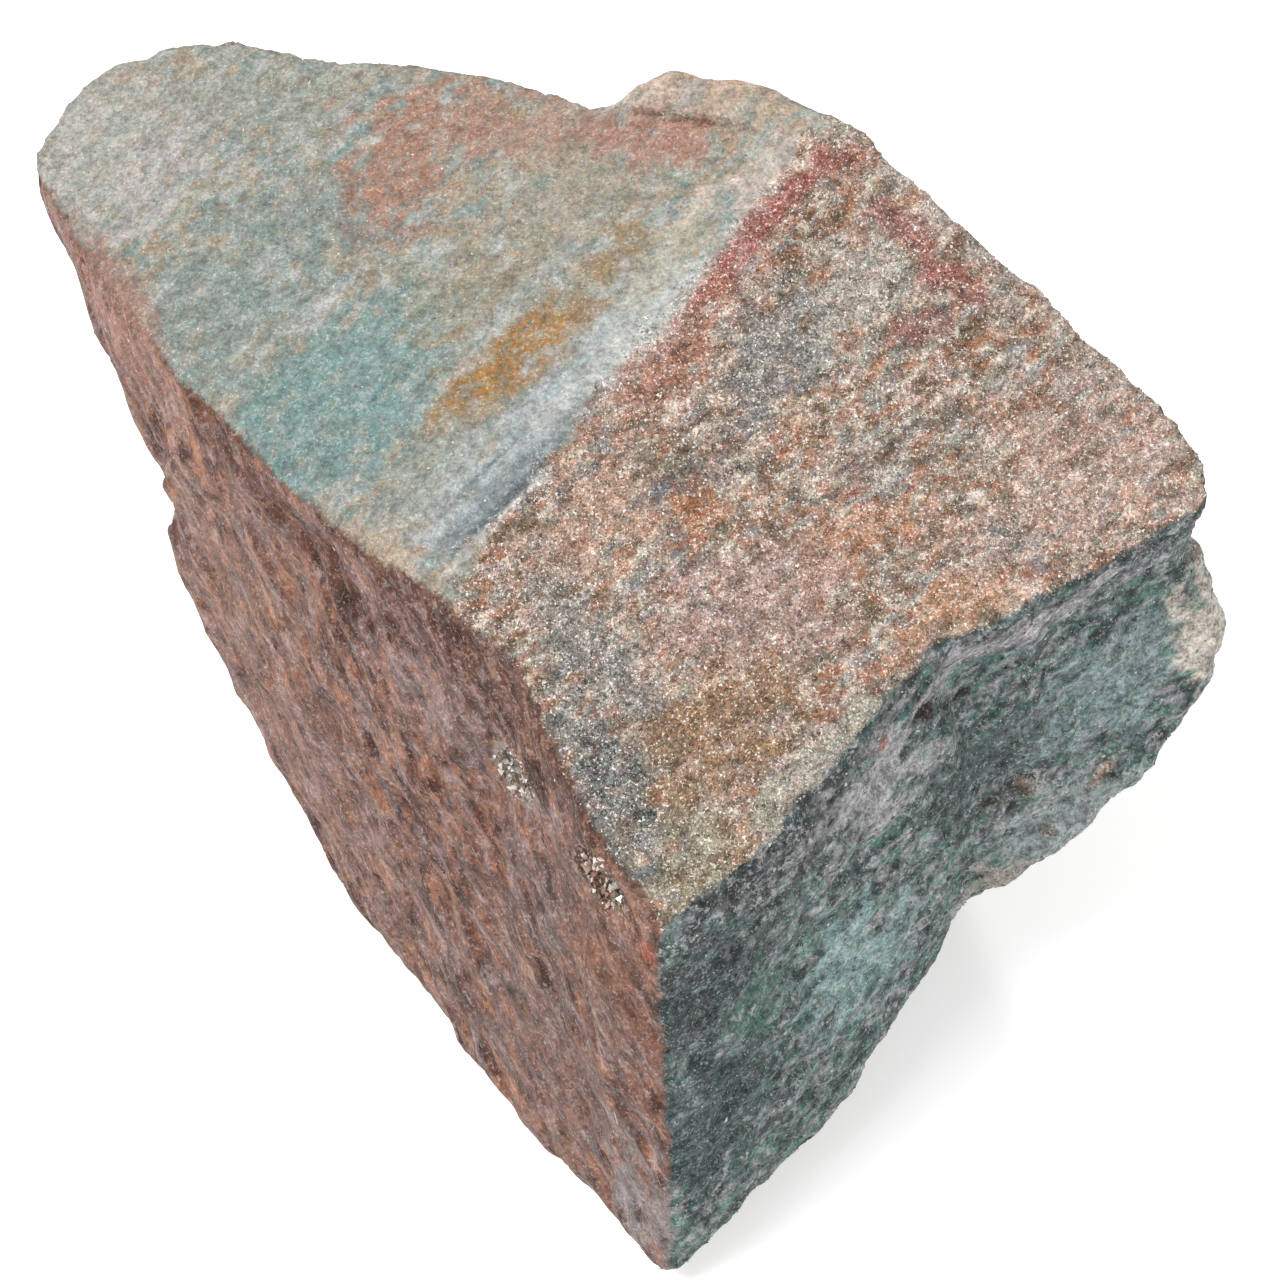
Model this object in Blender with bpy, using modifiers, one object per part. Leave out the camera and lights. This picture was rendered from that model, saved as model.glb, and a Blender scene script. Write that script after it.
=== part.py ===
"""Rough block of fuchsite quartzite: one solid stone, in metres, +Z up, resting on a small flat spot.

The stone split along its foliation, which gave the wide top face in two planes that meet at a low
crease. The rose-brown side and the green side broke across the layers. Each broken mass is the convex
hull of its own corners. The masses are joined, given an even mesh, chipped along the edges, given
their relief (lumps, fracture facets, ledges along the layers, named pits), thinned out and cut level
where the stone rests. The origin is the middle of the bounding box's bottom.
"""

import math

import bmesh
import bpy
import numpy as np
from mathutils import Vector, noise

MM = 0.001

# Overall build
STONE = "fuchsite_stone"
MESH_CELL = 0.62  # edge of one square of the even mesh that the relief is worked on, mm
TRIANGLES = 9400  # what the finished solid is thinned to
BASE_SINK = 0.8  # how far the masses reach below the floor before the flat spot is cut, mm

# The two cleavage planes of the top face: height over the origin in mm, and slope along X and Y
RIGHT_HEIGHT, RIGHT_SLOPE = 45.6, (-0.087, 0.259)
LEFT_HEIGHT, LEFT_SLOPE = 46.6, (0.159, 0.052)

# Corners of the top face that several masses share, as X and Y in mm
NEAR_CORNER = (1.7, -28.9)
CREASE_FOOT = (-11.4, -8.9)
CREASE_HEAD = (13.4, 20.6)
BEND_IN_ROSE_EDGE = (-7.5, -11.8)
BEND_IN_GREEN_EDGE = (18.2, -11.2)

# Chipping of the edges: size of a chip in mm, rounds of smoothing, and the most that one round smooths
CHIP_SIZE, CHIP_ROUNDS, CHIP_STRENGTH = 5.5, 7, 0.55

# Relief of the broken faces, in mm
LUMP_SIZE, LUMP_HEIGHT = 16.0, 1.0
LUMP_SEED = Vector((3.1, 7.7, 1.9))
FACET_SIZE, FACET_TILT, FACET_STEP = 6.5, 0.07, 0.12
FACET_SEED = 61.0
HACKLE_SIZE, HACKLE_HEIGHT = 3.6, 0.34
HACKLE_FALLOFF, HACKLE_LACUNARITY, HACKLE_OCTAVES = 0.9, 2.1, 3
CLEAVAGE_CALM = 0.22  # share of that relief that the smooth cleavage faces keep
LEDGE_SPACING, LEDGE_DEPTH = 5.0, 0.9
LEDGE_WANDER_SIZE, LEDGE_WANDER = 13.0, 2.0
LEDGE_PATCH_SIZE, LEDGE_SHARE = 10.0, 0.45
LEDGE_SEED = Vector((11.0, 2.0, 5.0))
SETTLE_ROUNDS, SETTLE_STRENGTH = 2, 0.4

# The finished solid
RIM_MERGE = 0.15  # corners of the flat spot's rim that are nearer than this become one, mm
SMOOTH_ANGLE = 38  # steeper edges stay sharp, degrees
STONE_COLOUR, STONE_ROUGHNESS = (0.31, 0.28, 0.25, 1.0), 0.62

# Named pits and hollows: where, how wide and how deep, in mm
PITS = {
    "brown cavity by the near corner": ((-5.2, -22.4, 36.5), 3.0, 1.1),
    "crystal pocket on the rose side": ((-10.8, -15.6, 37.0), 3.2, 0.8),
    "brown hollow under the rose edge": ((-20.5, -2.0, 38.5), 4.5, 0.9),
    "dip in the green lobe": ((24.0, -10.5, 25.0), 4.5, 0.7),
}


def corner(x: float, y: float, z: float) -> Vector:
    """A corner given in millimetres."""
    return Vector((x, y, z)) * MM


def on_right_face(x: float, y: float) -> Vector:
    """The point of the granular right half of the top face over x, y in mm."""
    return corner(x, y, RIGHT_HEIGHT + RIGHT_SLOPE[0] * x + RIGHT_SLOPE[1] * y)


def on_left_face(x: float, y: float, rise: float = 0.0) -> Vector:
    """The point of the banded left half of the top face over x, y in mm, or of a layer above it."""
    return corner(x, y, LEFT_HEIGHT + LEFT_SLOPE[0] * x + LEFT_SLOPE[1] * y + rise)


def heart_corners() -> list[Vector]:
    """The middle of the stone, from the near corner to the crease, down to the flat spot."""
    top = (NEAR_CORNER, BEND_IN_ROSE_EDGE, CREASE_HEAD, (19.7, 17.0), BEND_IN_GREEN_EDGE,
           (15.1, -14.9), (9.0, -22.9))
    corners = [on_right_face(x, y) for x, y in top]
    foot = (corner(2.9, -36.6, 2.5), corner(-5.0, -27.4, 1.6), corner(-10.4, -20.2, 1.6),
            corner(8.0, -31.0, 2.6), corner(13.8, -25.6, 4.2), corner(20.9, -17.4, 10.8),
            corner(22.5, -15.4, 14.2))
    belly = (corner(1.5, -29.0, -BASE_SINK), corner(-8.6, -16.0, -BASE_SINK),
             corner(9.5, -20.0, -BASE_SINK), corner(15.5, -6.0, -BASE_SINK),
             corner(10.0, 9.0, -BASE_SINK), corner(-5.0, 11.0, -BASE_SINK))
    back = (corner(16.0, 20.0, 33.0), corner(20.0, 4.0, 3.0), corner(14.0, 16.5, 5.0),
            corner(-4.0, 19.0, 4.0), corner(-2.0, 24.0, 34.0))
    return corners + [*foot, *belly, *back]


def left_corners() -> list[Vector]:
    """The long left arm under the banded face, whose far end is undercut like a beak."""
    top = (CREASE_FOOT, (-16.7, -5.5), (-27.4, 6.4), (-30.4, 16.8), (-38.0, 23.9),
           (-40.6, 27.2), (-39.2, 30.6), (-35.8, 34.4), (-30.3, 35.8), (-22.5, 34.3),
           (-11.0, 31.1), (-1.8, 26.6), (9.5, 22.4), CREASE_HEAD)
    corners = [on_left_face(x, y) for x, y in top] + [on_right_face(*BEND_IN_ROSE_EDGE)]
    beak = (corner(-36.9, 24.8, 39.3), corner(-34.5, 20.5, 36.0), corner(-32.4, 16.8, 32.1),
            corner(-30.3, 12.8, 27.0), corner(-34.5, 30.0, 36.5), corner(-25.0, 31.0, 28.0))
    foot = (corner(-16.0, -12.6, 3.6), corner(-4.7, -26.8, 1.8), corner(-22.0, -3.0, 10.0),
            corner(-24.0, 12.0, 11.0), corner(-14.0, 20.0, 5.0))
    belly = (corner(-14.0, -7.0, -BASE_SINK), corner(-15.0, 4.0, -BASE_SINK),
             corner(-5.0, 11.0, -BASE_SINK), corner(-8.6, -16.0, -BASE_SINK))
    back = (corner(-10.0, 27.5, 26.0), corner(10.0, 21.0, 34.0), corner(0.0, 18.0, 8.0))
    return corners + [*beak, *foot, *belly, *back]


def rose_slab_corners() -> list[Vector]:
    """The sheet on the rose-brown side that stands proud of the beak behind it."""
    corners = [on_left_face(x, y) for x, y in ((-16.7, -5.3), (-27.4, 6.4), (-27.8, 8.0))]
    edge = (corner(-29.9, 8.5, 35.3), corner(-30.8, 8.5, 30.7), corner(-31.3, 7.8, 23.0),
            corner(-29.2, 4.6, 16.8), corner(-25.8, -0.2, 12.5), corner(-21.9, -6.2, 7.5),
            corner(-20.1, -8.6, 4.5), corner(-15.9, -13.7, 2.9), corner(-9.0, -18.0, 4.0))
    inside = (corner(-20.0, 12.0, 30.0), corner(-18.0, 8.0, 8.0), corner(-10.0, 0.0, 20.0),
              corner(-14.0, -9.0, 36.0))
    return corners + [*edge, *inside]


def ledge_corners() -> list[Vector]:
    """The right shoulder under the granular face, whose front edge overhangs the green lobe."""
    outline = (BEND_IN_GREEN_EDGE, (25.6, -7.8), (30.0, -5.7), (34.5, -3.0), (36.9, -1.6),
               (37.1, 0.8), (33.4, 5.7), (26.3, 11.7), (19.9, 18.0), (15.7, 21.8), CREASE_HEAD)
    top = [on_right_face(x, y) for x, y in outline]
    front = (corner(19.0, -9.4, 34.0), corner(26.4, -5.9, 35.2), corner(33.6, -1.2, 36.8),
             corner(20.5, -4.0, 9.0), corner(29.0, 3.0, 20.0), corner(34.4, 4.0, 31.0))
    back = (corner(31.6, 8.6, 30.0), corner(25.0, 13.0, 14.0), corner(15.5, 19.5, 12.0),
            corner(9.0, 12.0, 10.0))
    return top + [*front, *back]


def green_lobe_corners() -> list[Vector]:
    """The green mass that bulges out below the ledge on the right."""
    face = (corner(17.0, -10.9, 32.4), corner(26.6, -5.8, 34.2), corner(35.4, -0.4, 36.6),
            corner(36.6, -0.6, 34.9), corner(39.2, -1.1, 29.9), corner(39.5, -2.5, 25.7),
            corner(37.2, -5.0, 22.0), corner(35.2, -6.8, 19.1), corner(31.8, -9.0, 17.1),
            corner(28.4, -11.2, 15.0), corner(25.4, -13.2, 14.3), corner(22.5, -15.2, 14.0))
    back = (corner(35.6, 3.4, 34.0), corner(36.4, 5.0, 28.0), corner(31.0, 8.0, 19.0),
            corner(24.0, 9.0, 8.0), corner(23.5, -3.0, 5.5), corner(17.0, -8.0, 3.0),
            corner(12.0, 8.0, 12.0), corner(15.0, 8.0, 30.0))
    return [*face, *back]


def low_layer_corners() -> list[Vector]:
    """The lowest layers, which stand out in a long step round the back."""
    tread = (corner(-21.0, 25.5, 22.0), corner(-12.5, 31.0, 23.5), corner(-3.0, 31.5, 26.0),
             corner(7.5, 28.0, 27.5), corner(17.0, 22.0, 26.5), corner(23.5, 15.5, 23.5),
             corner(-14.0, 10.0, 21.0), corner(20.0, 5.0, 22.0))
    foot = (corner(-16.0, 24.0, 13.0), corner(-8.0, 27.0, 7.0), corner(4.0, 25.0, 4.0),
            corner(15.0, 19.5, 6.5), corner(21.0, 13.0, 9.0), corner(-12.0, 14.0, 4.0))
    return [*tread, *foot]


def upper_layer_corners() -> list[Vector]:
    """A thick layer under the back edge that runs from the right shoulder past the crease."""
    tread = (corner(34.2, 5.4, 34.0), corner(31.2, 10.0, 31.5), corner(22.0, 18.8, 36.0),
             corner(12.0, 24.2, 40.0), corner(1.5, 26.6, 42.5), corner(-9.0, 28.6, 40.0),
             corner(17.5, 19.2, 45.5), corner(12.5, 22.2, 46.5), corner(6.0, 24.4, 45.5))
    foot = (corner(30.5, 8.0, 19.0), corner(23.0, 15.5, 18.0), corner(12.0, 21.5, 20.0),
            corner(-2.0, 25.0, 27.0), corner(10.0, 8.0, 20.0))
    return [*tread, *foot]


def cap_corners() -> list[Vector]:
    """What is left of the next layer: a low cap at the back edge, as x, y and rise over the face."""
    outline = ((-1.6, 25.4, 1.3), (0.6, 27.2, 1.4), (3.2, 28.0, 1.4), (7.2, 26.9, 1.2),
               (11.4, 24.4, 0.9), (15.6, 21.8, 0.5), (14.4, 20.6, 0.2), (9.6, 21.4, 0.7),
               (4.6, 23.2, 1.2), (0.6, 25.0, 1.3))
    top = [on_left_face(x, y, rise) for x, y, rise in outline]
    return top + [on_left_face(x, y + 0.3, -4.0) for x, y, _ in outline]


MASSES = {
    "heart": heart_corners,
    "left_arm": left_corners,
    "rose_slab": rose_slab_corners,
    "ledge": ledge_corners,
    "green_lobe": green_lobe_corners,
    "low_layer": low_layer_corners,
    "upper_layer": upper_layer_corners,
    "cap": cap_corners,
}


def clear_scene() -> None:
    """Removes whatever the file opened with."""
    for thing in list(bpy.data.objects):
        bpy.data.objects.remove(thing, do_unlink=True)


def new_collection(name: str) -> bpy.types.Collection:
    """A collection linked to the scene."""
    made = bpy.data.collections.new(name)
    bpy.context.scene.collection.children.link(made)
    return made


def hull(name: str, corners: list[Vector], home: bpy.types.Collection) -> bpy.types.Object:
    """The convex solid over a list of corners."""
    mesh = bpy.data.meshes.new(name)
    shape = bmesh.new()
    for place in corners:
        shape.verts.new(place)
    made = bmesh.ops.convex_hull(shape, input=shape.verts)
    spare = made["geom_interior"] + made["geom_unused"]
    loose = {item for item in spare if isinstance(item, bmesh.types.BMVert)}
    bmesh.ops.delete(shape, geom=list(loose), context="VERTS")
    bmesh.ops.recalc_face_normals(shape, faces=shape.faces)
    shape.to_mesh(mesh)
    shape.free()
    thing = bpy.data.objects.new(name, mesh)
    home.objects.link(thing)
    return thing


def join_masses(home: bpy.types.Collection, cutters: bpy.types.Collection) -> bpy.types.Object:
    """Unites the masses and gives the result an even mesh fine enough for the relief."""
    masses = [hull(name, corners(), cutters) for name, corners in MASSES.items()]
    first = masses[0]
    for other in masses[1:]:
        joint = first.modifiers.new("join " + other.name, "BOOLEAN")
        joint.operation = "UNION"
        joint.object = other
    even = first.modifiers.new("even mesh", "REMESH")
    even.mode = "VOXEL"
    even.voxel_size = MESH_CELL * MM
    stone = bpy.data.objects.new(STONE, as_evaluated(first, STONE))
    home.objects.link(stone)
    first.modifiers.clear()
    for mass in masses:
        mass.hide_render = True
        mass.display_type = "WIRE"
    return stone


def as_evaluated(thing: bpy.types.Object, name: str) -> bpy.types.Mesh:
    """A new mesh that holds what an object's modifiers make of it."""
    bpy.context.view_layer.update()
    evaluated = thing.evaluated_get(bpy.context.evaluated_depsgraph_get())
    mesh = bpy.data.meshes.new_from_object(evaluated)
    mesh.name = name
    return mesh


def layer_height(spot: Vector) -> float:
    """How far up the foliation a point in mm lies: the layers run parallel to the top face."""
    right = spot.z - (RIGHT_SLOPE[0] * spot.x + RIGHT_SLOPE[1] * spot.y)
    left = spot.z - (LEFT_SLOPE[0] * spot.x + LEFT_SLOPE[1] * spot.y)
    return min(right, left)


def facet(spot: Vector) -> float:
    """Offset of the small tilted fracture facet that a point in mm lies on."""
    cell = noise.voronoi(spot / FACET_SIZE)[1][0]
    tilt = noise.cell_vector(cell * FACET_SEED) * 2.0 - Vector((1.0, 1.0, 1.0))
    return FACET_TILT * tilt.dot(spot - cell * FACET_SIZE) + FACET_STEP * tilt.x


def ledge(spot: Vector) -> float:
    """Offset of the broken edges of the layers at a point in mm: a sharp lip that fades downwards."""
    wander = LEDGE_WANDER * noise.noise(spot / LEDGE_WANDER_SIZE)
    step = (layer_height(spot) + wander) / LEDGE_SPACING
    rise = step - math.floor(step)
    lip = min(1.0, rise * 6.0) * (1.0 - rise) - 0.4
    patch = max(0.0, LEDGE_SHARE + noise.noise(spot / LEDGE_PATCH_SIZE + LEDGE_SEED))
    return LEDGE_DEPTH * lip * patch


def relief(spot: Vector, normal: Vector) -> float:
    """How far the surface stands out or in at a point, all in mm."""
    across = 1.0 - normal.z * normal.z
    calm = CLEAVAGE_CALM + (1.0 - CLEAVAGE_CALM) * min(1.0, across * 1.5)
    lumps = LUMP_HEIGHT * noise.noise(spot / LUMP_SIZE + LUMP_SEED)
    rough = noise.fractal(spot / HACKLE_SIZE, HACKLE_FALLOFF, HACKLE_LACUNARITY, HACKLE_OCTAVES)
    return calm * (lumps + HACKLE_HEIGHT * rough + facet(spot)) + across * ledge(spot)


def pit_depth(spot: Vector) -> float:
    """How deep the named pits cut at a point, in mm."""
    depth = 0.0
    for middle, width, deep in PITS.values():
        away = (spot - Vector(middle)).length / width
        if away < 1.0:
            depth += deep * (1.0 - away * away) ** 2
    return depth


def relax(mesh: bpy.types.Mesh, pull: np.ndarray, rounds: int) -> None:
    """Draws each vertex towards the middle of its neighbours, by its own share of the way."""
    places = np.empty(len(mesh.vertices) * 3)
    mesh.vertices.foreach_get("co", places)
    places = places.reshape(-1, 3)
    pairs = np.empty(len(mesh.edges) * 2, dtype=np.int64)
    mesh.edges.foreach_get("vertices", pairs)
    first, second = pairs.reshape(-1, 2).T
    degree = np.bincount(first, minlength=len(places)) + np.bincount(second, minlength=len(places))
    for _ in range(rounds):
        around = np.zeros_like(places)
        np.add.at(around, first, places[second])
        np.add.at(around, second, places[first])
        places += pull[:, None] * (around / degree[:, None] - places)
    mesh.vertices.foreach_set("co", places.ravel())
    mesh.update()


def wear_edges(mesh: bpy.types.Mesh) -> None:
    """Rounds sharp edges unevenly, as on chipped and handled stone."""
    chip = [0.5 + noise.noise(vert.co / (CHIP_SIZE * MM)) for vert in mesh.vertices]
    relax(mesh, CHIP_STRENGTH * np.clip(chip, 0.0, 1.0), CHIP_ROUNDS)


def roughen(mesh: bpy.types.Mesh) -> None:
    """Gives the surface its relief and pits."""
    moved = []
    for vert in mesh.vertices:
        spot = vert.co / MM
        height = relief(spot, vert.normal) - pit_depth(spot)
        moved.append(vert.co + vert.normal * height * MM)
    for vert, place in zip(mesh.vertices, moved):
        vert.co = place
    relax(mesh, np.full(len(moved), SETTLE_STRENGTH), SETTLE_ROUNDS)


def thin_out(stone: bpy.types.Object) -> None:
    """Thins the mesh to the solid's triangles, which gather where the shape needs them."""
    thin = stone.modifiers.new("thin", "DECIMATE")
    thin.ratio = TRIANGLES / (2 * len(stone.data.polygons))
    thinned = as_evaluated(stone, STONE)
    stone.modifiers.clear()
    stone.data = thinned


def cut_flat_spot(mesh: bpy.types.Mesh) -> None:
    """Cuts the stone off level where it rests, and moves the origin to the middle of its base."""
    shape = bmesh.new()
    shape.from_mesh(mesh)
    below = bmesh.ops.bisect_plane(
        shape, geom=shape.verts[:] + shape.edges[:] + shape.faces[:], dist=1e-6,
        plane_co=(0, 0, 0), plane_no=(0, 0, 1), clear_inner=True,
    )
    rim = [item for item in below["geom_cut"] if isinstance(item, bmesh.types.BMEdge)]
    corners = {vert for edge in rim for vert in edge.verts}
    bmesh.ops.remove_doubles(shape, verts=list(corners), dist=RIM_MERGE * MM)
    rim = [edge for edge in shape.edges if edge.is_boundary]
    bmesh.ops.holes_fill(shape, edges=rim, sides=0)
    bmesh.ops.triangulate(shape, faces=shape.faces)
    bmesh.ops.recalc_face_normals(shape, faces=shape.faces)
    lows = [min(vert.co[axis] for vert in shape.verts) for axis in range(3)]
    highs = [max(vert.co[axis] for vert in shape.verts) for axis in range(3)]
    middle = Vector(((lows[0] + highs[0]) / 2, (lows[1] + highs[1]) / 2, lows[2]))
    bmesh.ops.translate(shape, vec=-middle, verts=shape.verts)
    shape.to_mesh(mesh)
    shape.free()


def stone_material() -> bpy.types.Material:
    """The stone's average look: dull grey-brown quartzite with green mica."""
    finish = bpy.data.materials.new("fuchsite_quartzite")
    finish.use_nodes = True
    shader = finish.node_tree.nodes["Principled BSDF"]
    shader.inputs["Base Color"].default_value = STONE_COLOUR
    shader.inputs["Roughness"].default_value = STONE_ROUGHNESS
    shader.inputs["Metallic"].default_value = 0.0
    return finish


def main() -> None:
    """Builds the stone."""
    clear_scene()
    home = new_collection("rough_fuchsite")
    cutters = new_collection("masses")
    stone = join_masses(home, cutters)
    wear_edges(stone.data)
    roughen(stone.data)
    thin_out(stone)
    cut_flat_spot(stone.data)
    stone.data.materials.clear()
    stone.data.materials.append(stone_material())
    stone.data.shade_smooth()
    stone.data.set_sharp_from_angle(angle=math.radians(SMOOTH_ANGLE))


main()
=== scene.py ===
"""Looks of the rough fuchsite stone: its skin, grains and flakes, with the floor, lights and camera.

Sizes are in millimetres unless a name says otherwise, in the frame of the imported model: X along the
longest side, Y towards the back, Z up from the flat spot that the stone rests on.
"""

import logging
import math
from dataclasses import dataclass
from enum import Enum, IntEnum

import bpy
import numpy as np
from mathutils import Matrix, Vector, noise


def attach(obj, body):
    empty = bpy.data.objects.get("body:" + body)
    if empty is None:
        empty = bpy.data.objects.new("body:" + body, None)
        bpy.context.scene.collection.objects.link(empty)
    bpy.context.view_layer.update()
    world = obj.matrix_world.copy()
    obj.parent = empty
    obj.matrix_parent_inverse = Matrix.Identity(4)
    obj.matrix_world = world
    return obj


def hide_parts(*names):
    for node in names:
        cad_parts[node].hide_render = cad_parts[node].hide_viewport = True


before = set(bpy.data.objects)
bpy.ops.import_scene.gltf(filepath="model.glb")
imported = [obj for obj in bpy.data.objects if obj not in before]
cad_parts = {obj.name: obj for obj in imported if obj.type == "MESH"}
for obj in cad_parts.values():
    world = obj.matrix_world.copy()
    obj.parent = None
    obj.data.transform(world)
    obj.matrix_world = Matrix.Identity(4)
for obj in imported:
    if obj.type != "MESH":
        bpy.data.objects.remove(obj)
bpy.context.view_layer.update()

MM = 0.001
STONE_NODE = "fuchsite_stone"
BODY = "root"

Vec = tuple[float, float, float]
Shade = tuple[int, int, int]  # a colour as the studio shows it, 0 to 255 each

LOG = logging.getLogger("fuchsite")


def tone(shade: Shade) -> np.ndarray:
    """Turns a display colour into the linear colour that a shader works with, by the sRGB curve."""
    shown = np.array(shade) / 255.0
    return np.where(shown <= 0.04045, shown / 12.92, ((shown + 0.055) / 1.055) ** 2.4)


def blend(under: np.ndarray, over: np.ndarray, share: np.ndarray | float) -> np.ndarray:
    """Lays one colour over another by its share."""
    return under * (1.0 - share) + over * share


def smooth(values: np.ndarray, low: float, high: float) -> np.ndarray:
    """Eases values from 0 at low to 1 at high, or the other way round where low is above high."""
    share = np.clip((values - low) / (high - low), 0.0, 1.0)
    return share * share * (3.0 - 2.0 * share)


class Seed(IntEnum):
    """Picks the noise that each feature of the rock follows."""

    LUMPS = 1
    SWAY = 4
    CHIPS = 5
    FINE_CHIPS = 6
    TEAR = 13
    GRAINS = 14
    CREASE = 41
    EDGE = 42
    RIDGES = 80
    SPECKS = 90


def noise_at(places: np.ndarray, size: float, seed: int, octaves: int = 1) -> np.ndarray:
    """Samples smooth noise, about -0.6 to 0.6.

    Args:
        places: Points, one row each, mm.
        size: Width of one blob of the noise, mm.
        seed: Picks one of many unlike fields.
        octaves: How many finer layers of noise are summed.

    Returns:
        One value for each point.
    """
    shift = Vector((seed * 17.31, seed * -9.13, seed * 5.77))
    spots = [Vector(place) + shift for place in places / size]
    if octaves == 1:
        return np.array([noise.noise(spot) for spot in spots])
    return np.array([noise.fractal(spot, 1.0, 2.0, octaves) for spot in spots])


def unit(vector: Vec | np.ndarray) -> np.ndarray:
    """Gives a vector the length 1."""
    return np.array(vector) / np.linalg.norm(vector)


class Face(Enum):
    """The faces of the stone, by how the rock broke there."""

    BANDED_TOP = "banded top"
    GRANULAR_TOP = "granular top"
    ROSE_SIDE = "rose side"
    GREEN_SIDE = "green side"
    BACK = "back"
    UNDERSIDE = "underside"


@dataclass(frozen=True)
class Mottle:
    """One kind of patch that a face is strewn with.

    Attributes:
        colour: Its colour.
        size: Width of a patch along the face's fibres, across them and into the rock, mm.
        share: How much of the face it takes, 0 to 1.
        seed: Picks where its patches lie.
        strength: How far it covers what is under it, 0 to 1.
        soft: How softly its patches fade out.
    """

    colour: Shade
    size: Vec
    share: float
    seed: int
    strength: float = 0.85
    soft: float = 0.16


@dataclass(frozen=True)
class FaceLook:
    """How one face of the stone looks.

    Attributes:
        facing: Direction that the face looks in.
        fibres: Direction of its fibres and streaks.
        lit: How brightly the studio lights it, against a white sheet of strength 1.
        main: Its commonest colour.
        mottles: What it is strewn with, from the lowest to the topmost.
        specks: Colours of the single grains and threads between the others, patch by patch.
        grit: 1 where the rock is sugary, 0 where it is not.
        fibre: 1 where the rock is fibrous, 0 where it is not.
        glint: How many grains flash: they get a painted glint in their colour and a glossier finish.
        lumps: Height of the small lumps, mm.
        ridge: Height of the ridges along the fibres, mm.
        ridge_size: Width of a ridge along the fibres, across them and into the rock, mm.
    """

    facing: Vec
    fibres: Vec
    lit: float
    main: Shade
    mottles: tuple[Mottle, ...]
    specks: tuple[Shade, ...]
    grit: float
    fibre: float
    glint: float
    lumps: float
    ridge: float
    ridge_size: Vec

    def axes(self) -> np.ndarray:
        """Gives three unit vectors, one a row: along the fibres, across them within the face, and outward."""
        out = unit(self.facing)
        along = unit(np.array(self.fibres) - out * (out @ np.array(self.fibres)))
        return np.array((along, np.cross(out, along), out))


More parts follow.
